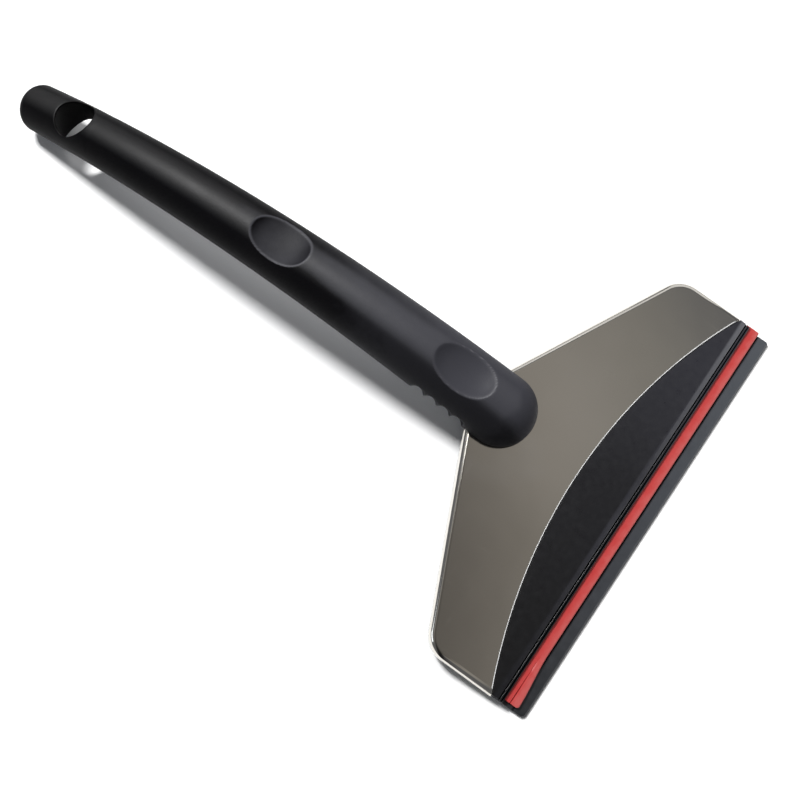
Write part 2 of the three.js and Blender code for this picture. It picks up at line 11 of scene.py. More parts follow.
import bmesh
import bpy
import numpy as np
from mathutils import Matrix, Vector

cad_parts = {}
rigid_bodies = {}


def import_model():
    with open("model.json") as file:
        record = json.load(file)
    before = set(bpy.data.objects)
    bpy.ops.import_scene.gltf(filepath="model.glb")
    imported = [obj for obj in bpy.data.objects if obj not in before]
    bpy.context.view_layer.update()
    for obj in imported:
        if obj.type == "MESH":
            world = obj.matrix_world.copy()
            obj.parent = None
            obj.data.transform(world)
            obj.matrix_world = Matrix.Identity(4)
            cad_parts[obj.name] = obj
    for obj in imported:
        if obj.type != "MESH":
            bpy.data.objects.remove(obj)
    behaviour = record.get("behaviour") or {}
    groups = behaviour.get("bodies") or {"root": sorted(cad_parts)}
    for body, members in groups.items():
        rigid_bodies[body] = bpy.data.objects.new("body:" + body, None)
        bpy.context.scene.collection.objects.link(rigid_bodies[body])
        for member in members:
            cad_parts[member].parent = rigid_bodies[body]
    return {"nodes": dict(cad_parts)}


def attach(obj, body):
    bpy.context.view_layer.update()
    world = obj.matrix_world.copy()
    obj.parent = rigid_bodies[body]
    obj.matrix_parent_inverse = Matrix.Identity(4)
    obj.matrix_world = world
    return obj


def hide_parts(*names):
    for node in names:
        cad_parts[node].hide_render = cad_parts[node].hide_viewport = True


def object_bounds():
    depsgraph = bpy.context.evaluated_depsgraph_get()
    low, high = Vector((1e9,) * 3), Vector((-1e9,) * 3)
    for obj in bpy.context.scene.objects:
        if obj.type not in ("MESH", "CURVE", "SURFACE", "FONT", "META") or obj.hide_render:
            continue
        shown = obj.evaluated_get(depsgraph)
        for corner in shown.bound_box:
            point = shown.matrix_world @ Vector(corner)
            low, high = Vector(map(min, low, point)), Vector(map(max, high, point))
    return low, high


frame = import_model()
cad_box = [list(corner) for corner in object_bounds()]
print("solids:", len(frame["nodes"]), "box in metres:", cad_box)

# %% [markdown]
# The scraper is easiest to describe square to its head, in millimetres: depth counts back from the
# blade's front edge and level counts up from the blade's underside. The handle is a round bar that tapers
# from its dome to its tip and is bent evenly. A drawn curve could stand for its axis, but an arc needs
# only a slope, a bend and a length, and gives the direction at every station without any fitting.

# %% The handle's arc
CLEARANCE = 0.3
HEAD_WIDTH, HEAD_REAR_WIDTH, HEAD_END_LENGTH = 171.6, 26, 27.6
STEEL_SETBACK, STEEL_TOP = 14.7, 5.1
SHOULDER_ANGLE = math.radians(64.8)
SHOULDER_DEPTH = STEEL_SETBACK + HEAD_END_LENGTH
HEAD_REAR_DEPTH = SHOULDER_DEPTH + (HEAD_WIDTH - HEAD_REAR_WIDTH) / 2 / math.tan(SHOULDER_ANGLE)
AXIS_OVER_HEAD, AXIS_OVER_STEEL = 6.7, 1.6
DOME_DEPTH = HEAD_REAR_DEPTH - AXIS_OVER_HEAD
AXIS_LEVEL = STEEL_TOP + AXIS_OVER_STEEL
HANDLE_LENGTH = 231
HANDLE_SLOPE, HANDLE_BEND = math.radians(8.7), math.radians(34.6)
BEND_RADIUS = HANDLE_LENGTH / HANDLE_BEND
HEAD_END_RADIUS, TIP_END_RADIUS, TIP_CAP = 13.8, 9.5, 7.2
TIP_RING = HANDLE_LENGTH - TIP_CAP


def handle_radius(station):
    return HEAD_END_RADIUS + (TIP_END_RADIUS - HEAD_END_RADIUS) * station / HANDLE_LENGTH


def axis_at(station):
    """Centre, backward direction and upward direction of the handle's axis at stations along it."""
    slope = HANDLE_SLOPE - np.asarray(station, float) / BEND_RADIUS
    flat = np.zeros_like(slope)
    centre = np.stack([
        -DOME_DEPTH - BEND_RADIUS * (math.sin(HANDLE_SLOPE) - np.sin(slope)), flat,
        AXIS_LEVEL + BEND_RADIUS * (np.cos(slope) - math.cos(HANDLE_SLOPE)),
    ], -1)
    back = np.stack([-np.cos(slope), flat, np.sin(slope)], -1)
    up = np.stack([np.sin(slope), flat, np.cos(slope)], -1)
    return centre, back, up


print("bend radius of the handle in mm:", round(BEND_RADIUS, 1))

# %% [markdown]
# At rest the scraper lies on the blade's front edge and on the handle's tip, so the head leans. The lean
# could be read off the solids, but it follows from the arc: of all lines from the blade's edge that touch
# the handle from below, the ground is the lowest. One function then brings points from the easy frame
# into the shared one, and another brings them back.

# %% The lean at rest
LEAN_STATIONS = 17
stations = np.linspace(0, TIP_RING, LEAN_STATIONS)
centres = axis_at(stations)[0]
reach = np.hypot(centres[:, 0], centres[:, 2])
lean = np.max(np.arcsin(handle_radius(stations) / reach) - np.arctan2(centres[:, 2], -centres[:, 0]))
front_edge = cad_box[1][0] * 1000


def placed(points):
    """Points square to the head, in millimetres, brought into the shared frame in metres."""
    p = np.asarray(points, float).reshape(-1, 3)
    x = p[:, 0] * math.cos(lean) + p[:, 2] * math.sin(lean) + front_edge
    z = p[:, 2] * math.cos(lean) - p[:, 0] * math.sin(lean)
    return np.column_stack([x, p[:, 1], z]) / 1000


def square_to_head(points):
    """The way back: points of the shared frame in metres, brought square to the head in millimetres."""
    p = np.asarray(points, float).reshape(-1, 3) * 1000
    x = p[:, 0] - front_edge
    depth = x * math.cos(lean) - p[:, 2] * math.sin(lean)
    level = x * math.sin(lean) + p[:, 2] * math.cos(lean)
    return np.column_stack([depth, p[:, 1], level])


print("lean in degrees:", round(math.degrees(lean), 3), "front edge in mm:", round(front_edge, 2))

# %% [markdown]
# The camera stands where the photograph was taken: above the scraper, on the blade's side, fairly close.
# It could be turned by trial, but its distance, direction and lens were fitted to the scraper's corners
# instead, which brings the edges within a few pixels of the photograph's. The camera and the lamps are
# all set on a sphere round one point and turned towards it, so they share one function.

# %% Camera
CAMERA_AZIMUTH, CAMERA_ELEVATION, CAMERA_DISTANCE = -54.762, 73.129, 0.440
FOCAL_PIXELS, IMAGE_PIXELS, SENSOR_WIDTH = 1158, 800, 36
LOOK_BACK, LOOK_ASIDE = 0.103104, -0.014548
look_at = Vector((front_edge / 1000 - LOOK_BACK, LOOK_ASIDE, 0))


def aimed(name, data, azimuth, elevation, distance):
    """An object at angles in degrees and a distance from the point looked at, turned towards it."""
    azimuth, elevation = math.radians(azimuth), math.radians(elevation)
    flat = math.cos(elevation)
    thing = bpy.data.objects.new(name, data)
    thing.location = look_at + distance * Vector((
        flat * math.cos(azimuth), flat * math.sin(azimuth), math.sin(elevation),
    ))
    thing.rotation_mode = "QUATERNION"
    thing.rotation_quaternion = (look_at - thing.location).to_track_quat("-Z", "Y")
    bpy.context.scene.collection.objects.link(thing)
    return thing


camera_data = bpy.data.cameras.new("camera")
camera_data.sensor_width = SENSOR_WIDTH
camera_data.lens = FOCAL_PIXELS / IMAGE_PIXELS * SENSOR_WIDTH
camera = aimed("camera", camera_data, CAMERA_AZIMUTH, CAMERA_ELEVATION, CAMERA_DISTANCE)
bpy.context.scene.camera = camera
print("camera at", [round(c, 3) for c in camera.location], "lens", round(camera_data.lens, 2))

# %% [markdown]
# The room's light and all finishes are node trees. They could be put together by hand in the editor, but
# in a script the same few nodes come back again and again. Each helper adds one kind of node, fills its
# sockets and gives its output, so a tree reads like a sum.

# %% Helpers for shader nodes
def feed(tree, socket, value):
    """Links an output to a socket, or sets the socket to a plain value."""
    if isinstance(value, bpy.types.NodeSocket):
        tree.links.new(value, socket)
    else:
        socket.default_value = value


def math_in(tree, operation, first, second=0.0):
    node = tree.nodes.new("ShaderNodeMath")
    node.operation = operation
    for socket, value in zip(node.inputs, (first, second)):
        feed(tree, socket, value)
    return node.outputs["Value"]


def range_in(tree, value, low, high, to_low, to_high, shape="LINEAR"):
    """A value mapped from one range to another, and held at the ends."""
    node = tree.nodes.new("ShaderNodeMapRange")
    node.interpolation_type = shape
    for socket, number in zip(("From Min", "From Max", "To Min", "To Max"), (low, high, to_low, to_high)):
        feed(tree, node.inputs[socket], number)
    feed(tree, node.inputs["Value"], value)
    return node.outputs["Result"]


def ramp_in(tree, value, stops, shape="LINEAR"):
    """A colour ramp from (position, colour) stops."""
    node = tree.nodes.new("ShaderNodeValToRGB")
    elements = node.color_ramp.elements
    while len(elements) < len(stops):
        elements.new(0.5)
    for element, (position, colour) in zip(elements, stops):
        element.position = position
        element.color = (*colour, 1)
    node.color_ramp.interpolation = shape
    feed(tree, node.inputs["Fac"], value)
    return node.outputs["Color"]


def part_in(tree, coordinates, axis):
    """The X, Y or Z part of one kind of texture coordinates."""
    where = tree.nodes.new("ShaderNodeTexCoord")
    split = tree.nodes.new("ShaderNodeSeparateXYZ")
    feed(tree, split.inputs["Vector"], where.outputs[coordinates])
    return split.outputs[axis]


print("shader node helpers ready")

# %% [markdown]
# The polished steel mirrors the room, so the room can't be one flat grey. A picture of a real room could
# light the scene, but a colour ramp over the height of the direction is enough: a warm ring of light high
# up fades towards the walls and towards the zenith. A narrow dark screen stands on the near side. The
# rolled edge of the steel mirrors it as a dark band, which makes the edge read as round.

# %% Room
ROOM_LIGHT = [
    (0.000, (0.240, 0.246, 0.256)), (0.120, (0.200, 0.205, 0.214)), (0.280, (0.140, 0.143, 0.152)),
    (0.780, (0.120, 0.121, 0.126)), (0.868, (0.138, 0.139, 0.146)), (0.895, (0.232, 0.226, 0.216)),
    (0.927, (0.280, 0.268, 0.254)), (0.950, (0.240, 0.226, 0.210)), (0.9715, (0.130, 0.122, 0.114)),
    (1.000, (0.096, 0.091, 0.086)),
]
# A range holds: from low, from high, to low, to high.
SCREEN_EDGE = (-0.30, -0.04, 0.10, 1.0)
SCREEN_SIDES = (0.10, 0.24, 0.10, 1.0)

bpy.context.scene.view_settings.view_transform = "Standard"
world = bpy.data.worlds.new("studio")
world.use_nodes = True
tree = world.node_tree
background = tree.nodes["Background"]
room_colour = ramp_in(tree, part_in(tree, "Generated", "Z"), ROOM_LIGHT, "CARDINAL")
feed(tree, background.inputs["Color"], room_colour)
before_screen = range_in(tree, part_in(tree, "Generated", "Y"), *SCREEN_EDGE)
sideways = math_in(tree, "ABSOLUTE", part_in(tree, "Generated", "X"))
beside_screen = range_in(tree, sideways, *SCREEN_SIDES)
feed(tree, background.inputs["Strength"], math_in(tree, "MAXIMUM", before_screen, beside_screen))
bpy.context.scene.world = world
print("stops of the room's light:", len(ROOM_LIGHT))

# %% [markdown]
# One strong, fairly small lamp from the top of the picture is the key: it throws the shadow to the lower
# left and shines through the hang hole. A single lamp would leave the flanks black, so wide and weak ones
# fill them in from all round. The floor is a plain pale sheet.

# %% Lamps and floor
FLOOR_HALF, FLOOR_GREY, FLOOR_ROUGHNESS = 6, 0.9, 0.9
COOL = (0.86, 0.92, 1)


def lamp(name, azimuth, elevation, distance, size, power, colour=(1, 1, 1)):
    data = bpy.data.lights.new(name, "AREA")
    data.size = size
    data.energy = power
    data.color = colour
    aimed(name, data, azimuth, elevation, distance)


def new_finish(name, **settings):
    """A material whose Principled shader has these constant sockets, with its tree and its shader."""
    finish = bpy.data.materials.new(name)
    finish.use_nodes = True
    shader = finish.node_tree.nodes["Principled BSDF"]
    for socket, value in settings.items():
        shader.inputs[socket.replace("_", " ")].default_value = value
    return finish, finish.node_tree, shader


lamp("key_light", azimuth=165, elevation=56, distance=1.5, size=0.28, power=27.5)
lamp("top_glow", azimuth=128, elevation=73, distance=1.3, size=0.35, power=1.5)
lamp("window", azimuth=142, elevation=32, distance=1.5, size=0.9, power=1.5)
lamp("side_fill", azimuth=95, elevation=32, distance=1.4, size=1.1, power=2.6)
lamp("front_fill", azimuth=30, elevation=28, distance=1.2, size=0.6, power=3.4)
lamp("low_fill", azimuth=222, elevation=30, distance=1.4, size=0.6, power=1.8, colour=COOL)

floor_mesh = bpy.data.meshes.new("floor")
floor_corners = [(x * FLOOR_HALF, y * FLOOR_HALF, 0) for x, y in ((-1, -1), (1, -1), (1, 1), (-1, 1))]
floor_mesh.from_pydata(floor_corners, [], [(0, 1, 2, 3)])
floor = bpy.data.objects.new("floor", floor_mesh)
bpy.context.scene.collection.objects.link(floor)
floor_colour = (FLOOR_GREY, FLOOR_GREY, FLOOR_GREY, 1)
floor_mesh.materials.append(new_finish("floor_paint", Base_Color=floor_colour, Roughness=FLOOR_ROUGHNESS)[0])

# %% [markdown]
# The finishes of the scraper need a few more kinds of node: a noise, a run from 0 to 1 along the piece, a
# number that is stored with the mesh, and a bump. Painted pictures could do this too, but a noise in
# Object coordinates needs no unwrapping. Object coordinates are metres here, so a noise scale of 2500
# gives grains of about 0.4 mm. A noise seldom leaves the middle of its range, so the middle is stretched
# to the limits wanted.

# %% Helpers for finishes
NOISE_MIDDLE = (0.3, 0.7)


def noise_in(tree, scale, detail, roughness, stretch=(1, 1, 1), turn=0):
    """A noise in Object coordinates, which can be stretched and turned by degrees about Z."""
    where = tree.nodes.new("ShaderNodeTexCoord")
    mapping = tree.nodes.new("ShaderNodeMapping")
    mapping.inputs["Scale"].default_value = stretch
    mapping.inputs["Rotation"].default_value = (0, 0, math.radians(turn))
    feed(tree, mapping.inputs["Vector"], where.outputs["Object"])
    node = tree.nodes.new("ShaderNodeTexNoise")
    node.inputs["Scale"].default_value = scale
    node.inputs["Detail"].default_value = detail
    node.inputs["Roughness"].default_value = roughness
    feed(tree, node.inputs["Vector"], mapping.outputs["Vector"])
    return node.outputs["Fac"]


def vary_in(tree, noise, low, high):
    """A value that wanders between two limits with a noise."""
    return range_in(tree, noise, *NOISE_MIDDLE, low, high)


def along_in(tree, axis, start, end, noise, blur):
    """0 to 1 along an axis of the Object coordinates, in metres, blurred by a noise."""
    run = range_in(tree, part_in(tree, "Object", axis), start, end, 0, 1)
    return math_in(tree, "ADD", run, vary_in(tree, noise, -blur, blur))


def attribute_in(tree, name):
    """A number that is stored with the points of the mesh."""
    node = tree.nodes.new("ShaderNodeAttribute")
    node.attribute_name = name
    return node.outputs["Fac"]


def bump_in(tree, shader, height, distance, strength):
    node = tree.nodes.new("ShaderNodeBump")
    node.inputs["Distance"].default_value = distance
    node.inputs["Strength"].default_value = strength
    feed(tree, node.inputs["Height"], height)
    feed(tree, shader.inputs["Normal"], node.outputs["Normal"])


print("finish helpers ready")

# %% [markdown]
# The handle is moulded black plastic with a fine matte grain. One flat black would look like a hole in
# the picture. Its colour carries painted light: the top and the rims are painted lighter as a painted
# highlight, and the flanks, most of all the near side by the head, are painted darker as painted shade,
# less so in the dimples. The handle also grows lighter towards the head. The shine is strongest on the
# top and weaker in the dimples. Light alone doesn't show this, so the colour and the shine follow the way
# the surface faces, the place along the handle and the numbers that the mesh carries for its rims and
# dimples.

# %% Finish of the handle
TIP_X, DOME_X = -0.148, 0.092
RUN_SHARE, RIM_SHARE = 0.75, 0.25
# Ranges again: from low, from high, to low, to high.
# OFF_TOP and NEAR_SIDE paint shade: the flanks away from the top and the near side by the head are darker.
OFF_TOP = (0.86, 0.97, 0.09, 0.0)
NEAR_SIDE = (-0.6, -0.05, 0.085, 0.0)
NEAR_SIDE_ALONG = (0.55, 0.73, 1.0, 3.2)
FLANK_IN_DIMPLE = (0, 1, 1.0, 0.3)
SHINE_ON_TOP = (0.82, 0.97, 0.03, 0.23)
SHINE_ALONG = (0.35, 0.50, 0.92, 1.2)
SHINE_IN_DIMPLE = (0, 1, 1.0, 0.35)
HANDLE_BLACKS = [
    (0.0, (0.0016, 0.0015, 0.0019)), (0.32, (0.0035, 0.0033, 0.0040)), (0.45, (0.0270, 0.0270, 0.0315)),
    (0.56, (0.0370, 0.0370, 0.0440)), (0.76, (0.0370, 0.0370, 0.0450)), (1.0, (0.1100, 0.1100, 0.1200)),
]
handle_finish, tree, shader = new_finish("handle_plastic")
grain = noise_in(tree, scale=2600, detail=3, roughness=0.6)
wear = noise_in(tree, scale=38, detail=4, roughness=0.6)
along = math_in(tree, "MULTIPLY", along_in(tree, "X", TIP_X, DOME_X, wear, 0.06), RUN_SHARE)
# Painted highlight: the rims are painted lighter.
rim = math_in(tree, "MULTIPLY", attribute_in(tree, "rim_highlight"), RIM_SHARE)
in_dimple = attribute_in(tree, "dimple")
facing_up = part_in(tree, "Normal", "Z")
# Painted shade: the flanks are painted darker than the top, less so in the dimples.
off_top = range_in(tree, facing_up, *OFF_TOP, "SMOOTHSTEP")
near_side = range_in(tree, part_in(tree, "Normal", "Y"), *NEAR_SIDE, "SMOOTHSTEP")
near_side = math_in(tree, "MULTIPLY", near_side, range_in(tree, along, *NEAR_SIDE_ALONG))
flank = math_in(tree, "ADD", off_top, near_side)
flank = math_in(tree, "MULTIPLY", flank, range_in(tree, in_dimple, *FLANK_IN_DIMPLE))
shade = math_in(tree, "SUBTRACT", math_in(tree, "ADD", along, rim), flank)
feed(tree, shader.inputs["Base Color"], ramp_in(tree, shade, HANDLE_BLACKS))
rough = math_in(tree, "ADD", vary_in(tree, wear, 0.47, 0.54), vary_in(tree, grain, -0.05, 0.05))
feed(tree, shader.inputs["Roughness"], rough)
shine = range_in(tree, facing_up, *SHINE_ON_TOP, "SMOOTHSTEP")
shine = math_in(tree, "MULTIPLY", shine, range_in(tree, along, *SHINE_ALONG))
shine = math_in(tree, "MULTIPLY", shine, range_in(tree, in_dimple, *SHINE_IN_DIMPLE))
feed(tree, shader.inputs["Specular IOR Level"], shine)
bump_in(tree, shader, grain, distance=0.00006, strength=0.8)
print("finish:", handle_finish.name)

# %% [markdown]
# The head's plastic is smoother: a satin black that shows a soft sheen near grazing light. A faint ripple
# blurs its reflections evenly. The plastic is painted lighter towards the +Y end as painted light, the
# front band of the crescent is painted lighter as a painted highlight, and its grooves are painted dark as
# painted shade. Both marks could be painted in a picture, but they follow edges of the mesh, so the mesh
# carries a number for each and the finish reads it.

# %% Finish of the head's plastic
HALF_WIDTH = HEAD_WIDTH / 2000
HEAD_RUN_SHARE, BAND_HIGHLIGHT_SHARE = 0.7, 0.3
HEAD_BLACKS = [
    (0.0, (0.0010, 0.0010, 0.0015)), (0.35, (0.0052, 0.0052, 0.0070)), (0.48, (0.0125, 0.0125, 0.0160)),
    (0.60, (0.0180, 0.0180, 0.0235)), (0.70, (0.0180, 0.0180, 0.0235)), (1.0, (0.0900, 0.0910, 0.1020)),
]
head_finish, tree, shader = new_finish("head_plastic")
ripple = noise_in(tree, scale=420, detail=4, roughness=0.55)
cloud = noise_in(tree, scale=24, detail=3, roughness=0.5)
# Painted shade: the grooves are painted dark and lose their shine.
painted_shade = attribute_in(tree, "painted_shade")
# Painted light: the plastic is painted lighter towards the +Y end.
along = along_in(tree, "Y", -HALF_WIDTH, HALF_WIDTH, cloud, 0.04)
along = math_in(tree, "MULTIPLY", along, HEAD_RUN_SHARE)
# Painted highlight: the front band of the crescent is painted lighter.
band_highlight = math_in(tree, "MULTIPLY", attribute_in(tree, "band_highlight"), BAND_HIGHLIGHT_SHARE)
shade = math_in(tree, "SUBTRACT", math_in(tree, "ADD", along, band_highlight), painted_shade)
feed(tree, shader.inputs["Base Color"], ramp_in(tree, shade, HEAD_BLACKS))
feed(tree, shader.inputs["Roughness"], vary_in(tree, ripple, 0.27, 0.36))
feed(tree, shader.inputs["Specular IOR Level"], range_in(tree, painted_shade, 0, 1, 0.5, 0))
bump_in(tree, shader, ripple, distance=0.00003, strength=0.5)
print("finish:", head_finish.name)

# %% [markdown]
# The cover is polished stainless sheet, almost a mirror, so most of its look is what it mirrors. What
# makes it read as a used thing are hairlines from wiping and a slow wave of the pressed sheet. Hairlines
# could be single strokes, but a noise that is stretched along one direction gives thousands of them. The
# cut edge of the arch is bright and rough, as the shears left it.

# %% Finish of the steel cover
HAIRLINE, WIPE = (0.62, 0.74, 0, 1), (0.64, 0.76, 0, 1)
POLISH, CUT_ROUGHNESS = (0, 1, 0.10, 0.24), 0.42
STEEL_TONES = [(0.3, (0.70, 0.67, 0.61)), (0.7, (0.80, 0.77, 0.71)), (1.0, (0.95, 0.95, 0.94))]
steel_finish, tree, shader = new_finish("polished_steel", Metallic=1.0)
hairline = noise_in(tree, scale=1.0, detail=5, roughness=0.7, stretch=(60, 2600, 60), turn=24)
wipe = noise_in(tree, scale=1.0, detail=4, roughness=0.7, stretch=(1800, 50, 50), turn=-12)
cloud = noise_in(tree, scale=16, detail=3, roughness=0.5)
cut_edge = attribute_in(tree, "cut_edge")
tone = math_in(tree, "ADD", cloud, cut_edge)
feed(tree, shader.inputs["Base Color"], ramp_in(tree, tone, STEEL_TONES))
scratch = math_in(tree, "MAXIMUM", range_in(tree, hairline, *HAIRLINE), range_in(tree, wipe, *WIPE))
rough_cut = math_in(tree, "MULTIPLY", cut_edge, CUT_ROUGHNESS)
feed(tree, shader.inputs["Roughness"], math_in(tree, "ADD", range_in(tree, scratch, *POLISH), rough_cut))
bump_in(tree, shader, cloud, distance=0.0004, strength=0.35)
print("finish:", steel_finish.name)

# %% [markdown]
# Both strips are rubber. The blade is slate black with a dry bloom in its roughness, and its colour grows
# lighter along it, from the -Y end to the +Y end. The line that is rubbed into it is painted dark as
# painted shade under the red strip's front edge. The red strip is pigmented right through, and it is
# painted darker at its rear, where it disappears under the lip, as painted shade, and lighter at its
# front. A noise alone would look the same everywhere, so each is tied to a place on the strip.

# %% Finishes of the two strips
RED_REAR_X, RED_FRONT_X = 0.1384, 0.1428
SLATES = [
    (0.0, (0.0125, 0.0135, 0.0160)), (0.3, (0.0260, 0.0285, 0.0340)), (0.6, (0.0380, 0.0420, 0.0500)),
    (1.0, (0.0520, 0.0580, 0.0680)),
]
REDS = [(0.0, (0.400, 0.022, 0.022)), (0.5, (0.440, 0.036, 0.034)), (1.0, (0.460, 0.078, 0.072))]
blade_finish, tree, shader = new_finish("blade_rubber")
bloom = noise_in(tree, scale=260, detail=5, roughness=0.6)
pores = noise_in(tree, scale=3000, detail=3, roughness=0.6)
# Painted shade: the line under the red strip's front edge is painted dark and loses its shine.
painted_shade = attribute_in(tree, "painted_shade")
along = along_in(tree, "Y", -HALF_WIDTH, HALF_WIDTH, bloom, 0.06)
feed(tree, shader.inputs["Base Color"], ramp_in(tree, math_in(tree, "SUBTRACT", along, painted_shade), SLATES))
feed(tree, shader.inputs["Specular IOR Level"], range_in(tree, painted_shade, 0, 1, 0.4, 0))
feed(tree, shader.inputs["Roughness"], vary_in(tree, bloom, 0.42, 0.56))
bump_in(tree, shader, pores, distance=0.00004, strength=0.7)

red_finish, tree, shader = new_finish("red_rubber", Specular_IOR_Level=0.45)
mottle = noise_in(tree, scale=300, detail=4, roughness=0.6)
pores = noise_in(tree, scale=2400, detail=3, roughness=0.6)
# Painted shade and highlight: the red is painted darker at its rear, under the lip, and lighter at its front.
forward = along_in(tree, "X", RED_REAR_X, RED_FRONT_X, mottle, 0.12)
feed(tree, shader.inputs["Base Color"], ramp_in(tree, forward, REDS))
feed(tree, shader.inputs["Roughness"], vary_in(tree, mottle, 0.40, 0.55))
bump_in(tree, shader, pores, distance=0.00004, strength=0.6)
print("finishes:", blade_finish.name, red_finish.name)

# %% [markdown]
# The screws are zinc plated: a grey metal with a slightly cloudy plating. They are small and sit on the
# underside, so one noise is enough for colour, roughness and bump.

# %% Finish of the screws
ZINCS = [(0.3, (0.30, 0.31, 0.32)), (0.7, (0.46, 0.47, 0.48))]
screw_finish, tree, shader = new_finish("screw_steel", Metallic=1.0)
plating = noise_in(tree, scale=900, detail=4, roughness=0.6)
feed(tree, shader.inputs["Base Color"], ramp_in(tree, plating, ZINCS))
feed(tree, shader.inputs["Roughness"], vary_in(tree, plating, 0.28, 0.44))
bump_in(tree, shader, plating, distance=0.00003, strength=0.5)
print("finish:", screw_finish.name)

# %% [markdown]
# A smooth handle, steel or strip is a row of outlines joined by a skin of faces, which is called a loft.
# A curve with a bevel could make a plain bar, but a loft lets every point follow a rule, such as a
# dimple. The helpers turn a stack of rings into faces, a list of points into an object that keeps its
# place in its mesh, and the result of modifiers into a plain mesh.

# %% Helpers for meshes
SMOOTH_BELOW = 38
MERGE_DISTANCE = 2e-7


def loft_faces(rows, columns, closed=True, first=0):
    """Quads between rows of points; closed joins each row's last point to its first."""
    spans = columns if closed else columns - 1
    return [
        (first + r * columns + c, first + r * columns + (c + 1) % columns,
         first + (r + 1) * columns + (c + 1) % columns, first + (r + 1) * columns + c)
        for r in range(rows - 1) for c in range(spans)
    ]


def solid_faces(rows, columns):
    """The faces of a loft with its first and last row filled."""
    last = (rows - 1) * columns
    return loft_faces(rows, columns) + [tuple(range(columns)), tuple(range(last, last + columns))]


def finish_mesh(mesh, smooth_below=SMOOTH_BELOW):
    """Merges doubles, turns the faces outwards and keeps only the edges sharper than an angle."""
    work = bmesh.new()
    work.from_mesh(mesh)
    bmesh.ops.remove_doubles(work, verts=work.verts, dist=MERGE_DISTANCE)
    bmesh.ops.recalc_face_normals(work, faces=work.faces)
    work.to_mesh(mesh)
    work.free()
    mesh.shade_smooth()
    mesh.set_sharp_from_angle(angle=math.radians(smooth_below))


def new_piece(name, points, faces, finish, smooth_below=SMOOTH_BELOW):
    mesh = bpy.data.meshes.new(name)
    mesh.from_pydata([tuple(p) for p in placed(points)], [], faces)
    finish_mesh(mesh, smooth_below)
    mesh.materials.append(finish)
    piece = bpy.data.objects.new(name, mesh)
    bpy.context.scene.collection.objects.link(piece)
    return piece


def applied(piece):
    """Gives the piece the plain mesh that its modifiers make, and returns that mesh."""
    bpy.context.view_layer.update()
    mesh = bpy.data.meshes.new_from_object(piece.evaluated_get(bpy.context.evaluated_depsgraph_get()))
    piece.modifiers.clear()
    piece.data = mesh
    return mesh


def combined(piece, tools, operation, smooth_below=SMOOTH_BELOW):
    """Cuts or joins a piece with other pieces as solids, and removes those."""
    for tool in tools:
        step = piece.modifiers.new("solid", "BOOLEAN")
        step.operation = operation
        step.solver = "EXACT"
        step.object = tool
    finish_mesh(applied(piece), smooth_below)
    for tool in tools:
        bpy.data.objects.remove(tool)


print("mesh helpers ready")

# %% [markdown]
# The handle's outside is a rule: how far the surface lies from the axis at a station along it and an
# angle round it. A thumb dimple is an egg sunk into the bar, and a finger groove is a bent tube with
# round ends. They could be cut out with booleans, but that leaves sharp rims. A soft minimum of the
# distances blends them into the bar instead, which gives the moulded look.

# %% The rule of the handle's surface
INSIDE_CAD = 0.04
# A dimple holds: station, length, width, depth.
DIMPLES = [(19.9, 25.6, 15.8, 3.7), (98.9, 25, 15.8, 3.9)]
DIMPLE_LIFT, DIMPLE_RIM = 3, 0.35
FIRST_GROOVE, GROOVE_PITCH, GROOVE_COUNT = 10.6, 6, 4
GROOVE_DEPTH, GROOVE_RADIUS, GROOVE_RIM = 1.7, 3.4, 0.3
GROOVE_REACH = math.radians(93)


def soft_minimum(a, b, blend):
    return np.minimum(a, b) - np.maximum(blend - np.abs(a - b), 0) ** 2 / (4 * blend)


def dimple_distance(station, across, upward, dimple):
    """Distance from the axis to a dimple's egg along each ray; a ray that misses it gets a far point."""
    where, length, width, depth = dimple
    radius = handle_radius(where)
    edge_drop = radius - math.sqrt(radius ** 2 - (width / 2) ** 2)
    tall = DIMPLE_LIFT + depth
    wide = width / 2 / math.sqrt(1 - ((DIMPLE_LIFT + edge_drop) / tall) ** 2)
    long = length / 2 / math.sqrt(1 - (DIMPLE_LIFT / tall) ** 2)
    centre, back, up = axis_at(where)
    start = axis_at(station)[0] - (centre + up * (radius + DIMPLE_LIFT))
    ray = across[..., None] * np.array([0, 1, 0]) + upward[..., None] * axis_at(station)[2]
    local = [np.stack([v @ back / long, v[..., 1] / wide, v @ up / tall], -1) for v in (start, ray)]
    a = np.sum(local[1] ** 2, -1)
    b = np.sum(local[0] * local[1], -1)
    under_root = b ** 2 - a * (np.sum(local[0] ** 2, -1) - 1)
    far = 4 * radius
    meets = (under_root > 0) & (b < 0)
    return np.where(meets, (-b - np.sqrt(np.maximum(under_root, 0))) / a, far)


def groove_distance(station, angle, groove):
    """Distance from the axis to a finger groove's tube; a ray that misses it gets a far point."""
    radius = handle_radius(station)
    middle = handle_radius(groove) - GROOVE_DEPTH + GROOVE_RADIUS
    centre, _, up = axis_at(station)
    groove_centre, groove_back, _ = axis_at(groove)
    along = (centre + (radius * np.sin(angle))[..., None] * up - groove_centre) @ groove_back
    from_bottom = np.abs((angle + math.pi / 2 + math.pi) % (2 * math.pi) - math.pi)
    past_end = np.maximum(from_bottom - GROOVE_REACH, 0) * middle
    inside = GROOVE_RADIUS ** 2 - along ** 2 - past_end ** 2
    far = 2 * radius
    return np.where(inside > 0, middle - np.sqrt(np.maximum(inside, 0)), far)


def cut_distances(station, angle):
    """Distances from the axis to each dimple and groove, each with the width of its rim."""
    across, upward = np.cos(angle), np.sin(angle)
    cuts = [(dimple_distance(station, across, upward, dimple), DIMPLE_RIM) for dimple in DIMPLES]
    grooves = [FIRST_GROOVE + GROOVE_PITCH * k for k in range(GROOVE_COUNT)]
    return cuts + [(groove_distance(station, angle, groove), GROOVE_RIM) for groove in grooves]


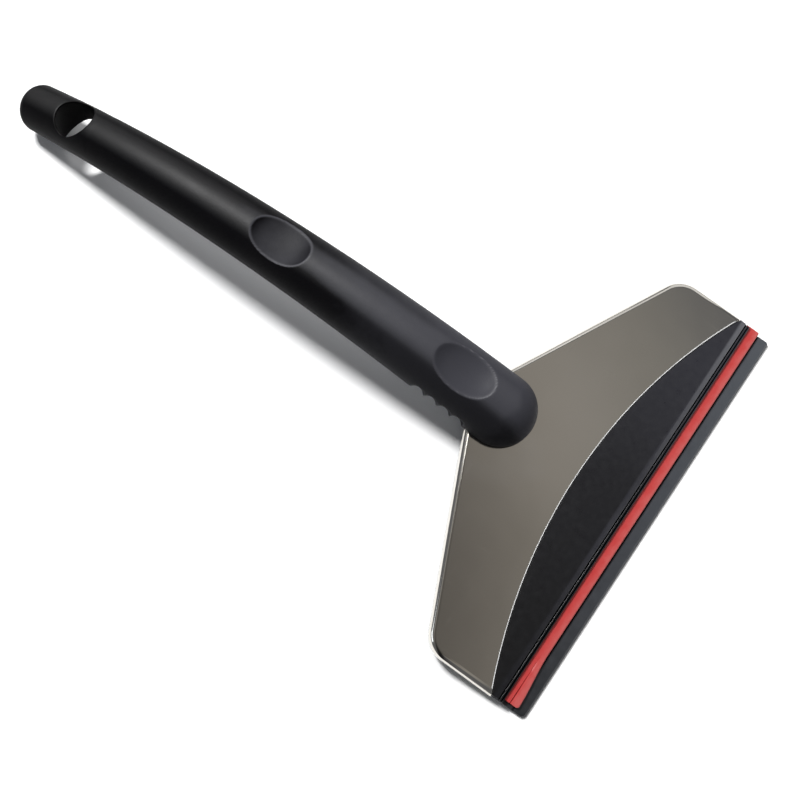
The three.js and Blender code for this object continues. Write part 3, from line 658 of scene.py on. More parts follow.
def surface_distance(station, angle):
    """Distance from the handle's axis to its surface; angle 0 points along the blade, 90 degrees is up."""
    station, angle = np.broadcast_arrays(np.asarray(station, float), np.asarray(angle, float))
    result = handle_radius(station) - INSIDE_CAD
    for cut, rim in cut_distances(station, angle):
        result = soft_minimum(result, cut, rim)
    return result


front_dimple = DIMPLES[0][0]
probe = handle_radius(front_dimple) - surface_distance(front_dimple, math.pi / 2)
print("front dimple depth in mm:", round(float(probe), 2))

# %% [markdown]
# The handle is two mouldings that meet in a line low on each side: the body above, and a cover strip that
# closes it from below. One closed bar could be cut in two, but here each ring of the body is made right
# from the start: an upper arc that ends on the split line and, where the cover lies, a flat floor between
# those ends. At the head's rear edge the rings stand upright, so that they follow that edge, and on both
# sides they lean again.

# %% Rings of the handle body
SPLIT_DROP = 5.6
COVER_START, COVER_END = 8.1, HANDLE_LENGTH - 46
UPPER_COUNT, LOWER_COUNT = 101, 43
RING_COUNT = UPPER_COUNT + LOWER_COUNT
STEEPEST, SPLIT_ROUNDS = 0.95, 6
UPRIGHT_RUN = 12
WALL_DEPTH = HEAD_REAR_DEPTH + CLEARANCE
WALL_STATION = BEND_RADIUS * (HANDLE_SLOPE - math.asin(
    math.sin(HANDLE_SLOPE) - (WALL_DEPTH - DOME_DEPTH) / BEND_RADIUS
))


def split_angle(station, drop):
    """The angle below the horizontal at which the surface reaches a drop under the axis."""
    angle = np.arcsin(np.minimum(drop / handle_radius(station), STEEPEST))
    for _ in range(SPLIT_ROUNDS):
        angle = np.arcsin(np.minimum(drop / surface_distance(station, -angle), STEEPEST))
    return float(angle)


def ring_angles(station):
    split = split_angle(station, SPLIT_DROP)
    upper = np.linspace(-split, math.pi + split, UPPER_COUNT)
    lower = np.linspace(math.pi + split, 2 * math.pi - split, LOWER_COUNT + 2)[1:-1]
    return np.concatenate([upper, lower])


def ring_points(station, distance, angle, shift=0.0):
    """Points round the axis at a station, which can be shifted along the axis there."""
    centre, back, up = axis_at(station)
    sideways = np.outer(distance * np.cos(angle), (0, 1, 0))
    return centre + shift * back + sideways + (distance * np.sin(angle))[:, None] * up


def upright_stations(station, angle):
    """Stations for a ring's points that stand it upright at the head's rear edge."""
    past = station - WALL_STATION
    if past <= 0:
        above = below = station / WALL_STATION
    else:
        above = max(1 - past / UPRIGHT_RUN, 0)
        below = max(1 - past / (COVER_START - WALL_STATION), 0)
    rise = handle_radius(station) * np.sin(angle) * math.tan(HANDLE_SLOPE - station / BEND_RADIUS)
    return station + np.where(np.sin(angle) > 0, above, below) * rise


def bar_ring(station, with_floor=False):
    """A ring of the bar; with a floor, its lower part runs straight between the ends of its upper arc."""
    angle = ring_angles(station)
    along = upright_stations(station, angle)
    points = ring_points(along, surface_distance(along, angle), angle)
    if with_floor:
        left, right = points[UPPER_COUNT - 1], points[0]
        share = np.linspace(0, 1, LOWER_COUNT + 2)[1:-1, None]
        points[UPPER_COUNT:] = left + share * (right - left)
    return points


print("station of the head's rear edge in mm:", round(WALL_STATION, 2))

# %% [markdown]
# The rings run from the dome over the head to the tip. Even steps would be simpler, but they would either
# blur the dimples or fill the plain stretches with needless faces. So the steps are short where a dimple,
# a groove or the hang hole lies and long elsewhere. Over the head the rings stop at the steel's surface.

# %% Rows of rings from the dome to the tip
OVER_STEEL = 0.06
DOME_RINGS, TIP_RINGS, POLE_GAP = 22, 16, 0.02
HEAD_STEP, WALL_STEP, PLAIN_STEP, TIP_STEP = 0.45, 0.4, 1, 0.8
# A stretch under which the cover lies holds: start, end, step.
COVER_STRETCHES = [(COVER_START, 36, 0.45), (36, 83, 1.5), (83, 114, 0.45), (114, COVER_END, 2)]
# The hole isn't square to the axis, so its lower window lies HOLE_SHIFT rings behind its upper one.
HOLE_STATION = HANDLE_LENGTH - 29.1
HOLE_STEP, HOLE_STEPS, HOLE_SHIFT, HOLE_LEAD = 0.5, 46, 13, 3.2


def on_head(points):
    """Points over the head lifted to the steel's surface."""
    lifted = points.copy()
    lifted[:, 2] = np.maximum(lifted[:, 2], STEEL_TOP + OVER_STEEL)
    return lifted


def spread(start, end, step):
    return np.linspace(start, end, max(2, int(round((end - start) / step)) + 1))


dome_start = ring_angles(0)
dome_rings = [
    on_head(ring_points(0, HEAD_END_RADIUS * math.sin(a), dome_start, -HEAD_END_RADIUS * math.cos(a)))
    for a in np.linspace(POLE_GAP, math.pi / 2, DOME_RINGS)[:-1]
]
head_rings = [on_head(bar_ring(s)) for s in spread(0, WALL_STATION, HEAD_STEP)]
wall_rings = [bar_ring(s) for s in spread(WALL_STATION, COVER_START, WALL_STEP)]
cover_stations = np.unique(np.concatenate([spread(*stretch) for stretch in COVER_STRETCHES]))
covered_rings = [bar_ring(s, with_floor=True) for s in cover_stations]
hole_start = HOLE_STATION - HOLE_LEAD - HOLE_STEP * HOLE_STEPS / 2
hole_stations = hole_start + HOLE_STEP * np.arange(HOLE_STEPS + HOLE_SHIFT + 1)
plain_rings = [bar_ring(s) for s in spread(COVER_END, hole_stations[0], PLAIN_STEP)[:-1]]
hole_rings = [bar_ring(s) for s in hole_stations]
end_rings = [bar_ring(s) for s in spread(hole_stations[-1], TIP_RING, TIP_STEP)[1:]]
cap_start, cap_radius = ring_angles(TIP_RING), handle_radius(TIP_RING)
cap_rings = [
    ring_points(TIP_RING, cap_radius * math.cos(a), cap_start, (TIP_CAP - INSIDE_CAD) * math.sin(a))
    for a in np.linspace(0, math.pi / 2 - POLE_GAP, TIP_RINGS)[1:]
]
body_rings = dome_rings + head_rings + wall_rings + covered_rings + plain_rings
first_hole_ring = len(body_rings)
body_rings += hole_rings + end_rings + cap_rings
print("rings of the handle body:", len(body_rings))

# %% [markdown]
# The hang hole goes right through near the tip. It was cored nearly square to the head and not to the
# handle's slope. A boolean would leave ragged triangles along its rim, which show on a smooth surface.
# Instead a window of faces is left out above and below, and rings will run from the window's edge to the
# hole. The helpers find the bar's surface along the hole's axis and the points round a window.

# %% Helpers for the hang hole
HOLE_LEAN = math.radians(1.4)
WINDOW_HALF = 30
HALVINGS = 40
hole_centre = axis_at(HOLE_STATION)[0]
hole_axis = np.array([-math.sin(HOLE_LEAN), 0, math.cos(HOLE_LEAN)])
hole_forward = np.array([math.cos(HOLE_LEAN), 0, math.sin(HOLE_LEAN)])


def round_the_axis(points):
    """Station, angle and distance from the handle's axis of points square to the head."""
    bend_centre = np.array([
        -DOME_DEPTH - BEND_RADIUS * math.sin(HANDLE_SLOPE), AXIS_LEVEL - BEND_RADIUS * math.cos(HANDLE_SLOPE),
    ])
    arm = points[:, [0, 2]] - bend_centre
    station = (HANDLE_SLOPE - np.arctan2(arm[:, 0], arm[:, 1])) * BEND_RADIUS
    upward = np.hypot(arm[:, 0], arm[:, 1]) - BEND_RADIUS
    return station, np.arctan2(upward, points[:, 1]), np.hypot(upward, points[:, 1])


def bar_gap(points):
    """How far points lie outside the plain bar; negative inside."""
    station, _, distance = round_the_axis(points)
    return distance - handle_radius(station)


def along_hole(across, side, sunk):
    """Points at places across the hole, moved along its axis until they lie sunk below the bar's surface."""
    base = hole_centre + np.outer(across[:, 0], hole_forward) + np.outer(across[:, 1], (0, 1, 0))
    low, high = np.zeros(len(base)), np.full(len(base), 2 * HEAD_END_RADIUS)
    for _ in range(HALVINGS):
        middle = (low + high) / 2
        inside = bar_gap(base + side * middle[:, None] * hole_axis) < -sunk
        low, high = np.where(inside, middle, low), np.where(inside, high, middle)
    return base + side * low[:, None] * hole_axis


def window_edge(first_row, middle_column):
    """Indices of the ring points round a window, in order, and of the faces that it leaves out."""
    columns = [(middle_column + k) % RING_COUNT for k in range(-WINDOW_HALF, WINDOW_HALF + 1)]
    rows = [first_row + k for k in range(HOLE_STEPS + 1)]
    edge = [(rows[0], c) for c in columns[:-1]] + [(r, columns[-1]) for r in rows[:-1]]
    edge += [(rows[-1], c) for c in columns[:0:-1]] + [(r, columns[0]) for r in rows[:0:-1]]
    left_out = {r * RING_COUNT + c for r in rows[:-1] for c in columns[:-1]}
    return [r * RING_COUNT + c for r, c in edge], left_out


print("hang hole at station", round(HOLE_STATION, 1), "of", HANDLE_LENGTH)

# %% [markdown]
# From each window's edge the rings close in on the hole, roll over its rounded lip, and the two inner
# loops are joined by the hole's wall. Every ring has as many points as the window's edge, so the faces
# stay even quads.

# %% Hang hole: windows, lips and wall
HOLE_RADIUS, HOLE_LIP = 7.85, 0.9
WINDOW_RINGS, LIP_RINGS, WALL_RINGS = 5, 8, 9
TOP_COLUMN, BOTTOM_COLUMN = UPPER_COUNT // 2, UPPER_COUNT + LOWER_COUNT // 2


def lip_loops(edge, side):
    """The window's edge sorted round the hole, and the loops from it over the lip into the hole."""
    rim = body_points[edge] - hole_centre
    across = np.column_stack([rim @ hole_forward, rim[:, 1]])
    turn = np.arctan2(across[:, 1], across[:, 0])
    order = np.argsort(turn)
    across, turn = across[order], turn[order]
    outward = np.column_stack([np.cos(turn), np.sin(turn)])
    loops = []
    for share in np.linspace(0, 1, WINDOW_RINGS + 1)[1:]:
        flat = across * (1 - share) + outward * (HOLE_RADIUS + HOLE_LIP) * share
        loops.append(along_hole(flat, side, 0.0))
    for away in HOLE_LIP * np.linspace(1, 0, LIP_RINGS + 1)[1:] ** 2:
        sunk = (math.sqrt(HOLE_LIP) - math.sqrt(away)) ** 2
        loops.append(along_hole(outward * (HOLE_RADIUS + away), side, sunk))
    return np.array(edge)[order], loops


body_points = np.concatenate(body_rings)
top_edge, top_out = window_edge(first_hole_ring, TOP_COLUMN)
bottom_edge, bottom_out = window_edge(first_hole_ring + HOLE_SHIFT, BOTTOM_COLUMN)
left_out = top_out | bottom_out
body_faces = [
    face for k, face in enumerate(solid_faces(len(body_rings), RING_COUNT)) if k not in left_out
]
count = len(top_edge)
inner_loops = []
for edge, side in ((top_edge, 1), (bottom_edge, -1)):
    edge, loops = lip_loops(edge, side)
    first = len(body_points)
    body_points = np.concatenate([body_points, *loops])
    for k in range(count):
        after = (k + 1) % count
        body_faces.append((int(edge[k]), int(edge[after]), first + after, first + k))
    body_faces += loft_faces(len(loops), count, first=first)
    inner_loops.append(loops[-1])
first = len(body_points)
shares = np.linspace(0, 1, WALL_RINGS + 2)
wall = [inner_loops[0] * (1 - share) + inner_loops[1] * share for share in shares]
body_points = np.concatenate([body_points, *wall])
body_faces += loft_faces(len(wall), count, first=first)
handle_body = new_piece("handle_moulding", body_points, body_faces, handle_finish, smooth_below=50)
print("handle body faces:", len(handle_body.data.polygons))

# %% [markdown]
# The rims are painted a little lighter as a painted highlight, and in the dimples the painted shade of
# the flanks and the shine are weaker. A painted mask would need an unwrapped surface. Instead each point
# of the mesh gets two numbers: one is 1 where a dimple or a groove meets the bar, and the other is 1
# inside a dimple. The finish reads them by their names.

# %% Painted rim highlights and dimples of the handle
RIM_WIDTH, DIMPLE_FADE, FIRST_RIM = 0.45, 1.0, 2


def corners_of(mesh):
    """The mesh's points as an array, in metres."""
    flat = np.empty(3 * len(mesh.vertices))
    mesh.vertices.foreach_get("co", flat)
    return flat.reshape(-1, 3)


def store_number(mesh, name, numbers):
    stored = mesh.attributes.new(name, "FLOAT", "POINT")
    stored.data.foreach_set("value", np.asarray(numbers, np.float32))


def rim_numbers(mesh):
    """1 where a dimple or a groove meets the bar, falling to 0 next to it."""
    station, angle, _ = round_the_axis(square_to_head(corners_of(mesh)))
    nearest = np.full(len(station), np.inf)
    for cut, _ in cut_distances(station, angle):
        nearest = np.minimum(nearest, np.abs(cut - handle_radius(station)))
    on_bar = (station > FIRST_RIM) & (station < TIP_RING)
    return np.where(on_bar, np.maximum(1 - nearest / RIM_WIDTH, 0), 0)


def dimple_numbers(mesh):
    """1 in the middle of a thumb dimple, falling to 0 at its rim."""
    station, angle, _ = round_the_axis(square_to_head(corners_of(mesh)))
    across, upward = np.cos(angle), np.sin(angle)
    distances = [dimple_distance(station, across, upward, dimple) for dimple in DIMPLES]
    sunk = handle_radius(station) - np.min(distances, axis=0)
    return np.clip(sunk / DIMPLE_FADE, 0, 1)


rims = rim_numbers(handle_body.data)
# The rims' number paints a highlight on them in the handle's finish.
store_number(handle_body.data, "rim_highlight", rims)
store_number(handle_body.data, "dimple", dimple_numbers(handle_body.data))
print("points on a rim:", int(np.sum(rims > 0)))

# %% [markdown]
# The cover strip closes the handle from below. It is lofted by the same rule as the body, so the finger
# grooves run on across the split. Four round recesses hold the screw heads. Rings round each recess would
# give better faces, but the recesses are few and out of sight from above, so here a boolean does.

# %% Handle bottom cover
HANDLE_SCREWS = [39, 52, 78, 150]
HANDLE_SCREW_HEAD, SCREW_SEAT = 2.8, -SPLIT_DROP - 2.6
COVER_ARC, COVER_FLAT, ROUND_SIDES = 61, 19, 32


def cover_ring(station):
    split = split_angle(station, SPLIT_DROP + CLEARANCE)
    angle = np.linspace(math.pi + split, 2 * math.pi - split, COVER_ARC)
    arc = ring_points(station, surface_distance(station, angle), angle)
    share = np.linspace(0, 1, COVER_FLAT + 2)[1:-1, None]
    return np.concatenate([arc, arc[-1] + share * (arc[0] - arc[-1])])


def turned_piece(name, centre, along, up, rings, finish):
    """A round solid from rings of (height, radius) about an axis that points up."""
    turn = np.linspace(0, 2 * math.pi, ROUND_SIDES, endpoint=False)
    disc = np.outer(np.cos(turn), along) + np.outer(np.sin(turn), (0, 1, 0))
    points = np.concatenate([centre + radius * disc + height * up for height, radius in rings])
    return new_piece(name, points, solid_faces(len(rings), ROUND_SIDES), finish)


first, last = COVER_START + CLEARANCE, COVER_END - CLEARANCE
between = [s for s in cover_stations if first < s < last]
cover_rings = [cover_ring(s) for s in [first, *between, last]]
cover = new_piece(
    "handle_cover_strip", np.concatenate(cover_rings),
    solid_faces(len(cover_rings), COVER_ARC + COVER_FLAT), handle_finish, smooth_below=40,
)
recess = [(height, HANDLE_SCREW_HEAD + CLEARANCE) for height in (-2 * HEAD_END_RADIUS, SCREW_SEAT)]
recesses = [turned_piece("recess", *axis_at(s), recess, handle_finish) for s in HANDLE_SCREWS]
combined(cover, recesses, "DIFFERENCE", smooth_below=40)
# The cover strip's rims get the same painted highlight.
store_number(cover.data, "rim_highlight", rim_numbers(cover.data))
print("cover strip faces:", len(cover.data.polygons))

# %% [markdown]
# The head's outline has straight ends, rounded shoulders and slanted sides that run in to the handle, and
# an arch is cut from its front. A bevel could round the corners afterwards, but the steel, the carrier
# and the bottom plate need the same outline, each set in by its own distance. So the outline is a
# function of that distance.

# %% Outline of the head
ARCH_RISE = 18.3
SHOULDER_RADIUS, HEAD_REAR_RADIUS = 11, 4
CORNER_STEPS = 24
ARCH_RADIUS = ((HEAD_WIDTH / 2) ** 2 + ARCH_RISE ** 2) / (2 * ARCH_RISE)
ARCH_CENTRE = STEEL_SETBACK + ARCH_RISE - ARCH_RADIUS


def arch_depth(y, gap=0.0):
    return ARCH_CENTRE + np.sqrt((ARCH_RADIUS - gap) ** 2 - np.asarray(y, float) ** 2)


def rounded_corner(before, corner, after, inset, radius):
    """The arc of a corner of an outline moved inwards by an inset; the outline turns left."""
    before, corner, after = (np.array(p, float) for p in (before, corner, after))
    along = (corner - before) / np.linalg.norm(corner - before)
    away = (after - corner) / np.linalg.norm(after - corner)
    turn = math.acos(np.clip(along @ away, -1, 1))
    inward = (away - along) / np.linalg.norm(away - along)
    inner = radius - inset
    centre = corner + inward * (inset + inner) / math.cos(turn / 2)
    start = math.atan2(-along[0], along[1])
    angles = start + np.linspace(0, turn, CORNER_STEPS + 1)
    return centre + inner * np.column_stack([np.cos(angles), np.sin(angles)])


def half_outline(inset, front_depth, rear_half):
    """The +Y half of the head's outline as X and Y, from the front of its end edge to the rear."""
    half = HEAD_WIDTH / 2
    shoulder, rear = (-SHOULDER_DEPTH, half), (-HEAD_REAR_DEPTH, HEAD_REAR_WIDTH / 2)
    shoulder_arc = rounded_corner((0, half), shoulder, rear, inset, SHOULDER_RADIUS)
    rear_arc = rounded_corner(shoulder, rear, (-HEAD_REAR_DEPTH, 0), inset, HEAD_REAR_RADIUS)
    front, end = (-front_depth, half - inset), (-HEAD_REAR_DEPTH + inset, rear_half)
    return np.concatenate([[front], shoulder_arc, rear_arc, [end]])


print("radius of the arch in mm:", round(ARCH_RADIUS, 1))

# %% [markdown]
# The steel cover is a pressed sheet: flat on top, with an edge rolled down on the sides and the arch cut
# from its front. A plane with a bevelled rim would be quick, but the roll has to end in the arch's cut.
# Rings of the outline, each a little further in and higher up, give the rolled edge, and one large face
# closes the top. A notch at the rear lets the carrier's neck through.

# %% Steel cover
STEEL_EDGE_RADIUS, STEEL_RIM_HEIGHT, STEEL_LAND = 2.2, 5, 0.3
NECK_LENGTH, TANG_WIDTH = 14, 14
ROLL_STEPS, ARCH_STEPS, STEEL_SMOOTH = 18, 160, 30
notch_half = TANG_WIDTH / 2 + CLEARANCE
levels = [(0.0, STEEL_TOP - STEEL_RIM_HEIGHT)] + [
    (STEEL_EDGE_RADIUS * (1 - math.cos(a)), STEEL_TOP - STEEL_EDGE_RADIUS * (1 - math.sin(a)))
    for a in np.linspace(0, math.pi / 2, ROLL_STEPS + 1)
] + [(STEEL_EDGE_RADIUS + STEEL_LAND, STEEL_TOP)]
half_rings = []
for inset, level in levels:
    outline = half_outline(inset, float(arch_depth(HEAD_WIDTH / 2 - inset)), notch_half)
    half_rings.append(np.column_stack([outline, np.full(len(outline), level)]))
other_rings = [ring[::-1] * np.array([1, -1, 1]) for ring in half_rings]
rows, columns = len(half_rings), len(half_rings[0])
half_count = rows * columns

reach_y = HEAD_WIDTH / 2 - STEEL_EDGE_RADIUS - STEEL_LAND
arch_y = np.linspace(-reach_y, reach_y, ARCH_STEPS + 1)[1:-1]
arch = np.column_stack([-arch_depth(arch_y), arch_y, np.full(len(arch_y), STEEL_TOP)])
notch_front = -(HEAD_REAR_DEPTH - NECK_LENGTH - CLEARANCE)
notch = [(notch_front, notch_half, STEEL_TOP), (notch_front, -notch_half, STEEL_TOP)]
steel_points = np.concatenate(half_rings + other_rings + [notch, arch])
first_notch, first_arch = 2 * half_count, 2 * half_count + len(notch)
top_face = (
    *range(half_count - columns, half_count), *range(first_notch, first_arch),
    *range(first_notch - columns, first_notch), *range(first_arch, len(steel_points)),
)
steel_faces = loft_faces(rows, columns, closed=False)
steel_faces += loft_faces(rows, columns, closed=False, first=half_count)
steel = new_piece("steel_sheet", steel_points, [*steel_faces, top_face], steel_finish, STEEL_SMOOTH)
print("steel sheet corners:", len(steel.data.vertices))

# %% [markdown]
# A sheet without thickness would look like paper at its cut edges. Solidify gives it its thickness
# downwards, and a bevel rounds the arch's upper edge, which catches the light as a fine bright line.
# Bevel by angle could do all edges at once, but the arch needs a wider one than the rest, so its edges
# are picked by their place. The points on the cut get a number, so that the finish can make the cut
# bright.

# %% Thickness and fine edge of the steel
STEEL_THICKNESS, ARCH_EDGE, FINE_EDGE = 0.6, 0.48, 0.1
ARCH_EDGE_STEPS, FINE_STEPS, SHARP_ANGLE = 6, 3, 50
AT_EDGE, CUT_REACH, CUT_TOP = 0.02, 1, 0.01


def arch_gap(points):
    """How far points square to the head lie in front of the arch's line."""
    within = np.abs(points[:, 1]) < reach_y + AT_EDGE
    return np.where(within, arch_depth(points[:, 1]) + points[:, 0], np.inf)


def softened(piece, width):
    """Rounds the piece's sharp edges by a width and returns its new mesh."""
    bevel = piece.modifiers.new("soft_edge", "BEVEL")
    bevel.width = width / 1000
    bevel.segments = FINE_STEPS
    bevel.limit_method = "ANGLE"
    bevel.angle_limit = math.radians(SHARP_ANGLE)
    return applied(piece)


if sum(face.normal.z * face.area for face in steel.data.polygons) < 0:
    steel.data.flip_normals()
thicken = steel.modifiers.new("thickness", "SOLIDIFY")
thicken.thickness = STEEL_THICKNESS / 1000
thicken.offset = -1
thicken.use_even_offset = True
mesh = applied(steel)
corners = square_to_head(corners_of(mesh))
on_edge = (np.abs(arch_gap(corners)) < AT_EDGE) & (corners[:, 2] > STEEL_TOP - AT_EDGE)
work = bmesh.new()
work.from_mesh(mesh)
bmesh.ops.bevel(
    work, geom=[e for e in work.edges if all(on_edge[v.index] for v in e.verts)], affect="EDGES",
    offset=ARCH_EDGE / 1000, offset_type="OFFSET", segments=ARCH_EDGE_STEPS, profile=0.5,
)
work.to_mesh(mesh)
work.free()
mesh = softened(steel, FINE_EDGE)
corners = square_to_head(corners_of(mesh))
on_cut = (np.abs(arch_gap(corners)) < CUT_REACH) & (corners[:, 2] < STEEL_TOP - CUT_TOP)
store_number(mesh, "cut_edge", on_cut)
mesh.shade_smooth()
mesh.set_sharp_from_angle(angle=math.radians(STEEL_SMOOTH))
# The sheet's two large faces are flat, and smooth shading would bend their reflections towards the roll.
for face in sorted(mesh.polygons, key=lambda face: face.area)[-2:]:
    face.use_smooth = False
print("steel cover faces:", len(steel.data.polygons))

# %% [markdown]
# The carrier is the black plastic that everything in the head is fixed to. What shows of it is the
# crescent in the steel's arch, with a rounded band along its front, a narrow groove, and the lip over the
# red strip with a fine line in it. Grooves could be cut out afterwards, but the profile is the same all
# along the blade, except that the arch cuts it off at the rear, so one profile is lofted along the blade.

# %% Crescent and lip of the carrier
BLADE_END_GAP, SLOT_INSET, LIP_REACH = 0.7, 0.5, 4.1
BLADE_LENGTH = HEAD_WIDTH - 2 * BLADE_END_GAP
SLOT_REAR = STEEL_SETBACK - SLOT_INSET
SLOT_ROOF, CARRIER_TOP, CARRIER_BOTTOM = 3.4, 4.2, 1.0
LIP_FRONT, LIP_LENGTH, LIP_EDGE, LIP_REAR_EDGE = SLOT_REAR - LIP_REACH, 1.5, 0.2, 0.12
LINE_FRONT, LINE_WIDTH, LINE_DEPTH = LIP_FRONT + 0.45, 0.45, 0.6
LINE_SOFT, LINE_WALL = 0.1, 0.05
BAND_GAP, BAND_LENGTH, BAND_EDGE, BAND_SLOPE = 0.5, 2.5, 0.25, 0.3
BAND_RAMP, BAND_FALL, CRESCENT_RISE, CRESCENT_EDGE = 1.5, 0.1, 0.6, 0.15
KEY_WIDTH, KEY_HEIGHT, LIP_KEY = 1, 0.7, SLOT_REAR - 2.1
CRESCENT_STATIONS, BAND_STEPS, EDGE_STEPS = 121, 6, 5
LINE_REAR, LINE_FLOOR = LINE_FRONT + LINE_WIDTH, CARRIER_TOP - LINE_DEPTH
LIP_REAR = LIP_FRONT + LIP_LENGTH
BAND_FRONT = LIP_REAR + BAND_GAP
CRESCENT_TOP = CARRIER_TOP + CRESCENT_RISE


def quarter(depth, level, deep, high, steps):
    """Points of a quarter ellipse that rises from (depth, level) over a depth and a height."""
    a = np.linspace(0, math.pi / 2, steps + 1)
    return np.column_stack([depth + deep * (1 - np.cos(a)), level + high * np.sin(a)])


def key_points(middle, level, rise, grown=0.0):
    """Corners of a key along the slot, from rear to front; the groove for it is grown by a clearance."""
    rear, front = middle + (KEY_WIDTH / 2 + grown), middle - (KEY_WIDTH / 2 + grown)
    top = level + rise + math.copysign(grown, rise)
    return np.array([(rear, level), (rear, top), (front, top), (front, level)])


def carrier_profile(y):
    """Depth and level round the crescent, lip and slot roof at a place along the blade."""
    rear = float(arch_depth(y, CLEARANCE))
    lip_rear = quarter(-LIP_REAR, CARRIER_TOP - LIP_REAR_EDGE, LIP_REAR_EDGE, LIP_REAR_EDGE, EDGE_STEPS)
    profile = np.concatenate([
        [(LIP_FRONT, SLOT_ROOF)],
        quarter(LIP_FRONT, CARRIER_TOP - LIP_EDGE, LIP_EDGE, LIP_EDGE, EDGE_STEPS),
        [(LINE_FRONT - LINE_SOFT, CARRIER_TOP), (LINE_FRONT, CARRIER_TOP - LINE_SOFT)],
        [(LINE_FRONT + LINE_WALL, LINE_FLOOR), (LINE_REAR - LINE_WALL, LINE_FLOOR)],
        [(LINE_REAR, CARRIER_TOP - LINE_SOFT), (LINE_REAR + LINE_SOFT, CARRIER_TOP)],
        lip_rear[::-1] * np.array([-1, 1]),
        [(LIP_REAR, LINE_FLOOR), (BAND_FRONT, LINE_FLOOR)],
        quarter(BAND_FRONT, CARRIER_TOP, BAND_EDGE, CRESCENT_RISE - BAND_SLOPE, BAND_STEPS),
        [(BAND_FRONT + BAND_RAMP, CRESCENT_TOP - BAND_FALL), (BAND_FRONT + BAND_LENGTH, CRESCENT_TOP)],
        [(rear - CRESCENT_EDGE, CRESCENT_TOP), (rear, CRESCENT_TOP - CRESCENT_EDGE)],
        [(rear, CARRIER_BOTTOM), (SLOT_REAR, CARRIER_BOTTOM), (SLOT_REAR, SLOT_ROOF)],
        key_points(LIP_KEY, SLOT_ROOF, -KEY_HEIGHT),
    ])
    profile[:, 0] = np.minimum(profile[:, 0], rear)
    return profile


def profile_points(profile, y):
    """A profile of depths and levels as points at a place along the blade."""
    return np.column_stack([-profile[:, 0], np.full(len(profile), y), profile[:, 1]])


places = np.linspace(-BLADE_LENGTH / 2, BLADE_LENGTH / 2, CRESCENT_STATIONS)
sections = [profile_points(carrier_profile(y), y) for y in places]
carrier = new_piece(
    "head_carrier_moulding", np.concatenate(sections),
    solid_faces(len(sections), len(sections[0])), head_finish, smooth_below=40,
)
print("crescent faces:", len(carrier.data.polygons))

# %% [markdown]
# Under the steel the carrier is a plate, and at its rear a neck goes up into the handle and ends in a
# tang. None of this shows from above, but the piece is one moulding. Modelling it in one skin would be
# slow, so simple blocks are joined to the crescent as solids. Then the points of its grooves and of its
# band get the numbers that the finish reads.

# %% Plate, neck and tang of the carrier
INSIDE_STEEL = STEEL_THICKNESS + CLEARANCE
TANG_THICKNESS, TANG_START, TANG_END = 4.4, 2, 60
PLATE_INSET, PLATE_LAP, PLATE_SUNK, SEAM_HALF = 0.4, 0.3, 0.3, 0.5
TOUCH = 0.1


def plate_piece(name, inset, front, bottom, top, finish):
    """The head's outline as a plate between two levels."""
    half = half_outline(inset, front, SEAM_HALF)
    outline = np.concatenate([half, half[::-1] * np.array([1, -1])])
    points = np.concatenate([np.column_stack([outline, np.full(len(outline), z)]) for z in (bottom, top)])
    return new_piece(name, points, solid_faces(2, len(outline)), finish)


def block_piece(name, centre, directions, sizes, finish):
    """A block round a centre, with its sizes along three directions."""
    corners = [(x, y, z) for z in (-1, 1) for x, y in ((-1, -1), (1, -1), (1, 1), (-1, 1))]
    points = np.array(centre) + np.array(corners) * np.array(sizes) / 2 @ np.array(directions)
    return new_piece(name, points, solid_faces(2, 4), finish)


centre, back, up = axis_at((TANG_START + TANG_END) / 2)
sag = np.linalg.norm(centre - (axis_at(TANG_START)[0] + axis_at(TANG_END)[0]) / 2)
tang_top = -SPLIT_DROP + CLEARANCE + sag + TANG_THICKNESS
neck_top = AXIS_LEVEL + tang_top - sag
tang = block_piece(
    "tang", centre + up * (tang_top - TANG_THICKNESS / 2), (back, (0, 1, 0), up),
    (TANG_END - TANG_START, TANG_WIDTH, TANG_THICKNESS), head_finish,
)
neck = block_piece(
    "neck", (-HEAD_REAR_DEPTH + NECK_LENGTH / 2, 0, (CARRIER_BOTTOM + neck_top) / 2), np.eye(3),
    (NECK_LENGTH, TANG_WIDTH, neck_top - CARRIER_BOTTOM), head_finish,
)
plate = plate_piece(
    "plate", INSIDE_STEEL + PLATE_INSET, SLOT_REAR + PLATE_LAP, CARRIER_BOTTOM, CARRIER_TOP - PLATE_SUNK,
    head_finish,
)
combined(carrier, [plate, neck, tang], "UNION", smooth_below=40)
corners = square_to_head(corners_of(carrier.data))
behind_band, level = -corners[:, 0] - BAND_FRONT, corners[:, 2]
in_groove = (behind_band < TOUCH) & (level < LINE_FLOOR + TOUCH) & (level > SLOT_ROOF + TOUCH)
# Painted shade: the points in the grooves get the number that paints them dark.
store_number(carrier.data, "painted_shade", in_groove)
# Painted highlight: the points on the band get the number that paints it lighter.
on_band = (behind_band > BAND_EDGE / 2) & (behind_band < BAND_RAMP + TOUCH) & (level > CARRIER_TOP + TOUCH)
store_number(carrier.data, "band_highlight", on_band)
print("carrier faces:", len(carrier.data.polygons))

# %% [markdown]
# The bottom plate closes the head from below, and its front jaw is the floor of the slot. It is a flat
# plate and a straight bar, so both are simple solids that are joined. The screws sink into conical
# recesses, which a boolean cuts out. Unbevelled edges would look razor sharp, so the plate's edges are
# softened first, while it is still plain.

